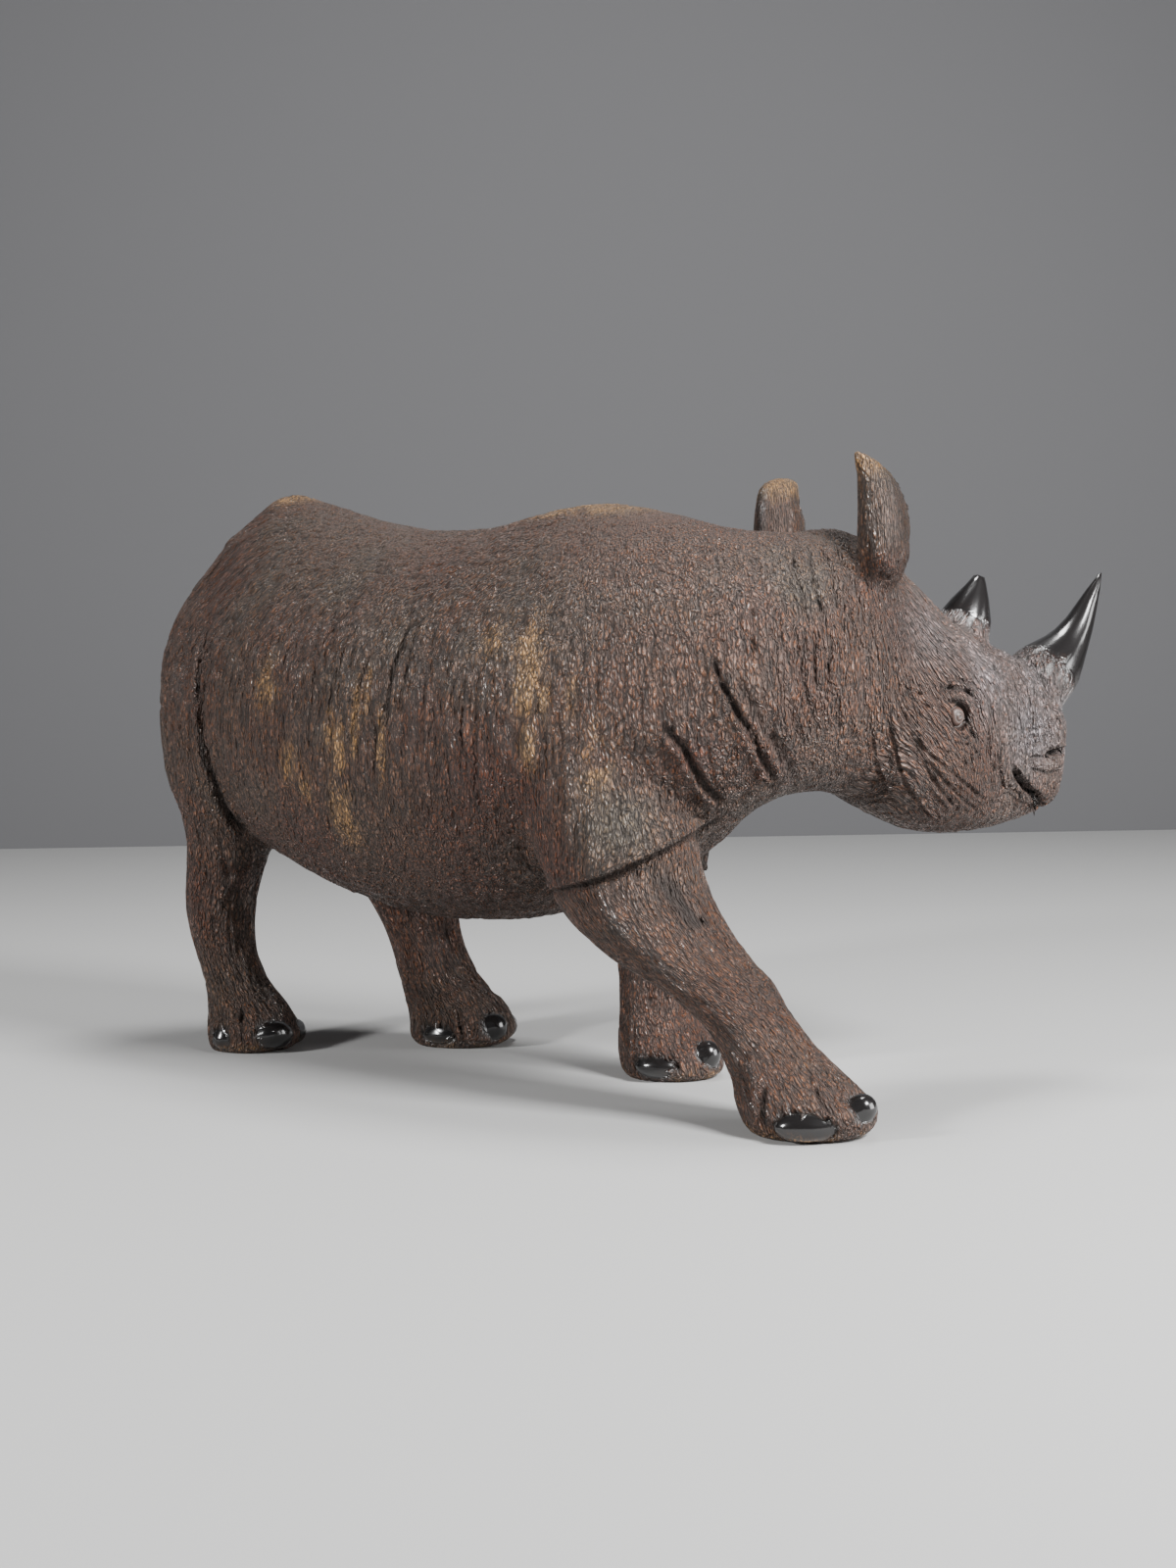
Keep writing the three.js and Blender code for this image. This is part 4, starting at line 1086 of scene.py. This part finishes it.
finish = {
    # worn through to pale wood: middle, half height, half width, strength
    "worn": [
        [83, -85, 260, 12, 6, 0.7], [88, -91, 240, 20, 6, 1.0], [89, -93, 203, 11, 4, 0.9],
        [131, -80, 195, 14, 7, 0.7],
        [100, -90, 226, 9, 3, 0.8], [116, -88, 226, 9, 3, 0.7], [-56, -98, 160, 15, 8, 1.0],
        [-52, -101, 180, 12, 7, 0.4],
        [-124, -96, 238, 13, 9, 0.7], [-52, -104, 200, 12, 4, 0.8], [-38, -103, 214, 20, 3, 0.9],
        [-17, -103, 200, 16, 3, 0.7],
        [-60, -102, 214, 12, 4, 0.8], [-100, -100, 190, 10, 8, 0.5], [-86, -100, 176, 10, 6, 0.5],
        [-30, -99, 232, 14, 2, 0.7],
        [60, -92, 262, 9, 7, 0.5], [-284, -60, 210, 22, 5, 0.6], [-200, 4, 360, 6, 16, 0.8],
        [62, -10, 336, 5, 40, 0.8],
        [-40, 92, 236, 16, 8, 0.7], [60, 90, 240, 14, 6, 0.6], [-150, 90, 220, 14, 7, 0.6],
        [10, 98, 190, 12, 5, 0.5],
    ],
    # redder wood: middle, radius, strength
    "russet": [
        [55, -95, 175, 42, 0.9], [95, -84, 140, 26, 0.8], [40, -85, 130, 36, 0.7], [-205, -70, 110, 46, 0.9],
        [172, -50, 195, 16, 1.0], [194, -30, 205, 14, 0.7], [-100, -85, 140, 40, 0.5], [-214, -60, 310, 34, 0.5],
        [-150, 60, 90, 50, 0.7], [60, 90, 150, 50, 0.7], [80, 45, 70, 40, 0.5], [200, -10, 180, 40, 0.6],
        [-60, 95, 170, 50, 0.6], [215, 110, 165, 30, 0.5], [240, 30, 290, 24, 0.5], [230, 45, 320, 15, 1.0],
        [236, 40, 302, 14, 1.0],
    ],
    # painted sheen: a cool pale highlight where light falls on the front of the head
    "paintedSheen": [
        *[[*onHead(a, l, h), reach, share] for a, l, h, reach, share in (
            (148, 0, 212, 22, 1.3), (150, 0, 196, 20, 1.2), (126, -12, 228, 20, 0.9), (114, 0, 246, 22, 0.8),
            (118, -30, 204, 26, 0.9), (84, -38, 238, 30, 0.7), (40, -48, 262, 26, 0.5), (92, 0, 262, 20, 0.6),
            (118, 30, 204, 26, 0.9))],
    ],
    # painted highlight: a silvery shine on the foot of the front horn
    "hornFootShine": [[*onHead(151, -4, 212), 13, 1.0], [*onHead(150, 6, 212), 13, 1.0]],
    # smooth and darker, without the strokes of the carver
    "calm": [
        [*onHead(a, l, h), reach, 0.9] for a, l, h, reach in ((132, -33, 184, 9), (132, 33, 184, 9))],
    # greyer, cooler wood: middle, radius, strength
    "ash": [
        [226, 42, 341, 9, 1.0],
        [212, -4, 285, 22, 0.9], [216, -8, 255, 16, 0.6], [135, -86, 160, 22, 0.9], [152, -78, 158, 20, 0.9],
        [-30, -95, 250, 40, 0.6], [-150, -85, 270, 45, 0.6], [-80, -80, 296, 30, 0.6], [70, -80, 280, 36, 0.5],
        [-20, 95, 240, 50, 0.6], [120, -40, 120, 24, 0.4], [110, 80, 250, 40, 0.5], [-180, 85, 260, 40, 0.5],
    ],
}


def blobs(points, spots, flat=False):
    # The strongest of the spots at each point, each a bell curve of the distance, round or upright.
    total = np.zeros(len(points))
    for spot in spots:
        gap = points - np.array(spot[:3])
        if flat:
            away = (gap[:, 2] / spot[3]) ** 2 + (gap[:, 0] ** 2 + (gap[:, 1] * 0.5) ** 2) / spot[4] ** 2
        else:
            away = np.sum(gap**2, axis=1) / spot[3] ** 2
        total = np.maximum(total, spot[-1] * np.exp(-away))
    return total


def leave(data, name, values):
    # Keeps a value for each point with the mesh, for the material.
    kind = "FLOAT_VECTOR" if values.ndim > 1 else "FLOAT"
    layer = data.attributes.new(name, kind, "POINT")
    layer.data.foreach_set("vector" if values.ndim > 1 else "value", values.astype(np.float32).ravel())


def noteFinish(rhino, shade):
    # Painted shade in the creases and under the hems, the ears' tips, the worn and coloured places, painted sheen
    # and highlight, and the grain, kept with the mesh.
    data = rhino.data
    points = readPoints(rhino)
    z = points[:, 2]
    _, left, _ = headShares(points)
    for rise, share in hemShares(points):
        # painted shade just under each hem
        shade = np.maximum(shade, share * smoothStep(rise, 0.4, -0.6) * smoothStep(rise, -6, -2))
    tip = earShare(points) * smoothStep(z + 8 * (left > 0), 344, 353)
    leave(data, "grain", skinGrain(points))
    leave(data, "shade", shade)
    calm = smoothStep(np.minimum(eyeForm(points, -1)[0], eyeForm(points, 1)[0]), 8.2, 6.4)
    leave(data, "calm", np.maximum(calm, blobs(points, finish["calm"])))
    leave(data, "horn", hornShare(points))
    leave(data, "nail", nailShare(points))
    leave(data, "paintedSheen", blobs(points, finish["paintedSheen"]))
    leave(data, "hornFootShine", blobs(points, finish["hornFootShine"]))
    leave(data, "earTip", tip)
    leave(data, "sole", smoothStep(z, 9, 1))
    leave(data, "worn", blobs(points, finish["worn"], flat=True))
    leave(data, "russet", blobs(points, finish["russet"]))
    leave(data, "ash", blobs(points, finish["ash"]))


# Shader sums


class Wire:
    # A socket of the shader that takes part in sums.
    def __init__(self, shader, socket):
        self.shader, self.socket = shader, socket

    def sum(self, operation, *values):
        return self.shader.node("ShaderNodeMath", {"operation": operation}, dict(enumerate(values)))

    def __add__(self, other):
        return self.sum("ADD", self, other)

    def __sub__(self, other):
        return self.sum("SUBTRACT", self, other)

    def __rsub__(self, other):
        return self.sum("SUBTRACT", other, self)

    def __mul__(self, other):
        return self.sum("MULTIPLY", self, other)

    __radd__ = __add__
    __rmul__ = __mul__

    def clip(self):
        return self.sum("MAXIMUM", self.sum("MINIMUM", self, 1.0), 0.0)

    def size(self):
        return self.sum("ABSOLUTE", self)

    def most(self, other):
        return self.sum("MAXIMUM", self, other)

    def ramp(self, low, high):
        # 0 below low, 1 above high, smooth between.
        inputs = {"Value": self, "From Min": low, "From Max": high}
        return self.shader.node("ShaderNodeMapRange", {"interpolation_type": "SMOOTHSTEP"}, inputs)


class Shader:
    # A material, and the ways of adding its nodes.
    def __init__(self, name):
        self.material = bpy.data.materials.new(name)
        self.material.use_nodes = True
        self.tree = self.material.node_tree
        self.surface = self.tree.nodes["Principled BSDF"]

    def put(self, socket, value):
        if isinstance(value, Wire):
            self.tree.links.new(value.socket, socket)
        else:
            socket.default_value = value

    def node(self, kind, settings=None, inputs=None, output=0):
        made = self.tree.nodes.new(kind)
        for key, value in (settings or {}).items():
            setattr(made, key, value)
        for key, value in (inputs or {}).items():
            self.put(made.inputs[key], value)
        return Wire(self, made.outputs[output])

    def note(self, name, output="Fac"):
        return self.node("ShaderNodeAttribute", {"attribute_name": name}, output=output)

    def vector(self, operation, a, b):
        return self.node("ShaderNodeVectorMath", {"operation": operation}, {0: a, 1: b})

    def mix(self, share, a, b):
        settings = {"data_type": "FLOAT", "clamp_factor": True}
        return self.node("ShaderNodeMix", settings, {0: share, 2: a, 3: b})

    def tint(self, share, a, b):
        settings = {"data_type": "RGBA", "clamp_factor": True}
        a, b = ((*c, 1) if isinstance(c, tuple) else c for c in (a, b))
        return self.node("ShaderNodeMix", settings, {0: share, 6: a, 7: b}, output=2)

    def noise(self, place, scale, detail=2.0, rough=0.5, warp=0.0, output="Fac"):
        inputs = {"Vector": place, "Scale": scale, "Detail": detail, "Roughness": rough, "Distortion": warp}
        return self.node("ShaderNodeTexNoise", {}, inputs, output)

    def stretched(self, place, size):
        # Coordinates counted in cells of a width and a length in mm.
        across, along = size
        return self.vector("MULTIPLY", place, (1 / across, 1 / across, 1 / along))

    def finish(self, **values):
        for key, value in values.items():
            self.put(self.surface.inputs[key], value)
        return self.material


# Carved wood

wood = {
    "creviceShade": (0.010, 0.005, 0.003),
    "brown": (0.200, 0.090, 0.050),
    "red": (0.200, 0.060, 0.028),
    "grey": (0.175, 0.130, 0.088),
    "paintedSheen": (0.46, 0.41, 0.43),
    "pale": (0.66, 0.36, 0.14),
    "black": (0.010, 0.009, 0.009),
    "hornFootShine": (0.50, 0.50, 0.52),
    "smoothDark": (0.050, 0.024, 0.017),
    "ridge": (0.46, 0.31, 0.23),
    "streak": (1.7, 14.0),  # mm across and along, of the long thin cuts
    "net": (2.0, 6.0),  # mm, of the short cracks between them
    "wrinkle": (7.0, 42.0),  # mm, of the long winding wrinkles
    "relief": 3.4,  # mm from crevice to ridge
}


def carvedWood():
    # Cuts from long streaks, short cracks and winding wrinkles in the straightened coordinates of the skin.
    s = Shader("carvedWood")
    place = s.node("ShaderNodeTexCoord", output="Object")
    grain = s.note("grain", "Vector")
    waver = s.noise(grain, 0.1, 2.0, 0.5, output="Color")
    grain = s.vector("ADD", grain, s.vector("MULTIPLY", waver, (3.6, 3.6, 2.4)))
    streak = s.noise(s.stretched(grain, wood["streak"]), 1.0, 2.0, 0.6)
    cells = s.stretched(grain, wood["net"])
    inputs = {"Vector": cells, "Scale": 1.0, "Randomness": 1.0}
    edge = s.node("ShaderNodeTexVoronoi", {"feature": "DISTANCE_TO_EDGE"}, inputs, "Distance")
    fine = s.noise(cells, 3.0, 2.0, 0.6)
    wrinkle = (s.noise(s.stretched(grain, wood["wrinkle"]), 1.0, 2.0, 0.55) - 0.5).size()
    broad = s.noise(place, 14, 3.0, 0.55)
    patchy = s.noise(place, 45, 3.0, 0.6)
    fleck = s.noise(place, 320, 2.0, 0.6)
    shade = s.note("shade")
    calm = s.note("calm")
    hard = (s.note("horn") + s.note("nail")).clip()
    # how high the wood stands, and 1 in a cut, which the colour darkens with painted shade
    height = edge.ramp(0.0, 0.32) * 0.5 + streak.ramp(0.25, 0.7) * 0.9 + fine * 0.25 + wrinkle.ramp(0.0, 0.05) * 0.7
    cut = (1 - streak.ramp(0.36, 0.54)).most(0.9 * (1 - edge.ramp(0.05, 0.25))).most(1 - wrinkle.ramp(0.006, 0.022))
    cut = (cut * (1 - calm)).most(shade)
    # colours laid over each other
    redness = (s.note("russet") * 0.9 + (broad - 0.5) * 1.6 + (patchy - 0.5) * 0.7).clip()
    greyness = (s.note("ash") * 0.9 + (0.5 - broad) * 2.0 + (patchy - 0.5) * 1.1).clip()
    colour = s.tint(redness, wood["brown"], wood["red"])
    colour = s.tint(greyness, colour, wood["grey"])
    # painted highlight: paler tops of the ridges
    ridge = streak.ramp(0.52, 0.72) * edge.ramp(0.12, 0.4) * fleck.ramp(0.35, 0.65)
    colour = s.tint(ridge * 0.45, colour, wood["ridge"])
    # painted sheen: cool pale colour on the front of the head, broken up by flecks
    paintedSheen = (s.note("paintedSheen") * fleck.ramp(0.2, 0.55)).clip()
    colour = s.tint(paintedSheen, colour, wood["paintedSheen"])
    bare = (s.note("worn") * 2.4 * patchy.ramp(0.3, 0.55) * fleck.ramp(0.25, 0.5)).clip()
    bare = bare.most(s.note("earTip") * fleck.ramp(0.2, 0.45)).most(s.note("sole") * patchy.ramp(0.4, 0.6) * 0.8)
    colour = s.tint(bare, colour, wood["pale"])
    # painted highlight: silvery shine on the front horn's foot, in place of its black
    hornFootShine = s.note("hornFootShine") * fleck.ramp(0.2, 0.5)
    colour = s.tint(hornFootShine, colour, wood["hornFootShine"])
    # darker where smooth: on the eyes and beside the nostrils
    colour = s.tint(calm * 0.9, colour, wood["smoothDark"])
    # painted shade: the cuts and the carved creases darkened nearly to black
    colour = s.tint(cut * 0.92, colour, wood["creviceShade"])
    hard = hard * (1 - hornFootShine)
    colour = s.tint(hard * (1 - bare), colour, wood["black"])
    sheen = s.mix(calm, s.mix(hard, s.mix(cut, 0.24, 0.85), 0.2), 0.5)
    height = height * (1 - hard) * (1 - calm)
    bump = s.node("ShaderNodeBump", {}, {"Strength": 1.0, "Distance": wood["relief"] / 1000, "Height": height})
    s.finish(**{"Base Color": colour, "Roughness": sheen, "Normal": bump})
    return s.finish(**{"Coat Weight": hard * 0.2, "Coat Roughness": 0.15, "Specular IOR Level": 0.75})


noteFinish(rhino, shade)
movePoints(rhino, (readPoints(rhino) + frameShift) / 1000)
made.shade_smooth()
made.materials.clear()
made.materials.append(carvedWood())
print("finish laid on")
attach(rhino, "root")
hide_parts("rhinoceros")

# The picture's camera, room and lamps

view = {
    "place": (0.92744, -1.03493, 0.24377),
    "ahead": (-0.66531, 0.74472, -0.05244),
    "roll": 0.9425,
    "lens": 50.8,
}


def makeCamera():
    # Looks along the given way, rolled a little about it.
    ahead = Vector(view["ahead"]).normalized()
    right = ahead.cross(Vector((0, 0, 1))).normalized()
    down = ahead.cross(right)
    roll = np.radians(view["roll"])
    rightTurned = right * np.cos(roll) + down * np.sin(roll)
    downTurned = down * np.cos(roll) - right * np.sin(roll)
    data = bpy.data.cameras.new("camera")
    data.lens = view["lens"]
    data.sensor_width = 36
    camera = bpy.data.objects.new("camera", data)
    turned = Matrix((rightTurned, -downTurned, -ahead)).transposed().to_4x4()
    camera.matrix_world = Matrix.Translation(view["place"]) @ turned
    bpy.context.collection.objects.link(camera)
    bpy.context.scene.camera = camera


room = {
    "floor": {"reach": 6.0, "material": "palePaper", "colour": (0.44, 0.44, 0.436, 1)},
    # the wall stands across the picture, out of the way of a view from behind
    "wall": {"behind": 1.75, "reach": 5.0, "height": 4.0, "material": "greyPaint", "colour": (0.13, 0.13, 0.135, 1)},
    "air": (0.07, 0.07, 0.074, 1),
    # place, power, size, what it shines at
    "lamps": {
        "right": ((1.35, -0.1, 1.05), 54, 0.45, (0, 0, 0.15)),
        "front": ((-0.6, -2.0, 1.0), 44, 0.3, (0, 0, 0.15)),
        "side": ((1.5, 0.7, 0.4), 22, 0.8, (0.25, 0.1, 0.25)),
        "above": ((-0.1, 0.4, 2.0), 30, 0.5, (0, 0, 0.15)),
    },
}


def makeSheet(name, corners):
    # A flat matt sheet of the room.
    data = bpy.data.meshes.new(name)
    data.from_pydata([tuple(c) for c in corners], [], [(0, 1, 2, 3)])
    sheet = bpy.data.objects.new(name, data)
    matt = bpy.data.materials.new(room[name]["material"])
    matt.use_nodes = True
    surface = matt.node_tree.nodes["Principled BSDF"]
    surface.inputs["Base Color"].default_value = room[name]["colour"]
    surface.inputs["Roughness"].default_value = 0.9
    data.materials.append(matt)
    bpy.context.collection.objects.link(sheet)
    return sheet


def makeRoom():
    # The floor, and a wall square to the view.
    r = room["floor"]["reach"]
    floor = makeSheet("floor", [(-r, -r, 0), (r, -r, 0), (r, r, 0), (-r, r, 0)])
    away = Vector((view["ahead"][0], view["ahead"][1], 0)).normalized()
    along = Vector((-away.y, away.x, 0)) * room["wall"]["reach"]
    foot, rise = away * room["wall"]["behind"], Vector((0, 0, room["wall"]["height"]))
    wall = makeSheet("wall", [foot - along, foot + along, foot + along + rise, foot - along + rise])


def makeLamp(name, place, power, size, target):
    # A square lamp turned to what it shines at.
    data = bpy.data.lights.new(name, "AREA")
    data.energy = power
    data.size = size
    lamp = bpy.data.objects.new(name, data)
    lamp.location = place
    lamp.rotation_euler = (Vector(target) - Vector(place)).to_track_quat("-Z", "Y").to_euler()
    bpy.context.collection.objects.link(lamp)


makeCamera()
makeRoom()
for name, lamp in room["lamps"].items():
    makeLamp(name, *lamp)
world = bpy.data.worlds.new("room")
world.use_nodes = True
world.node_tree.nodes["Background"].inputs["Color"].default_value = room["air"]
world.node_tree.nodes["Background"].inputs["Strength"].default_value = 1.0
bpy.context.scene.world = world

print("scene ready")
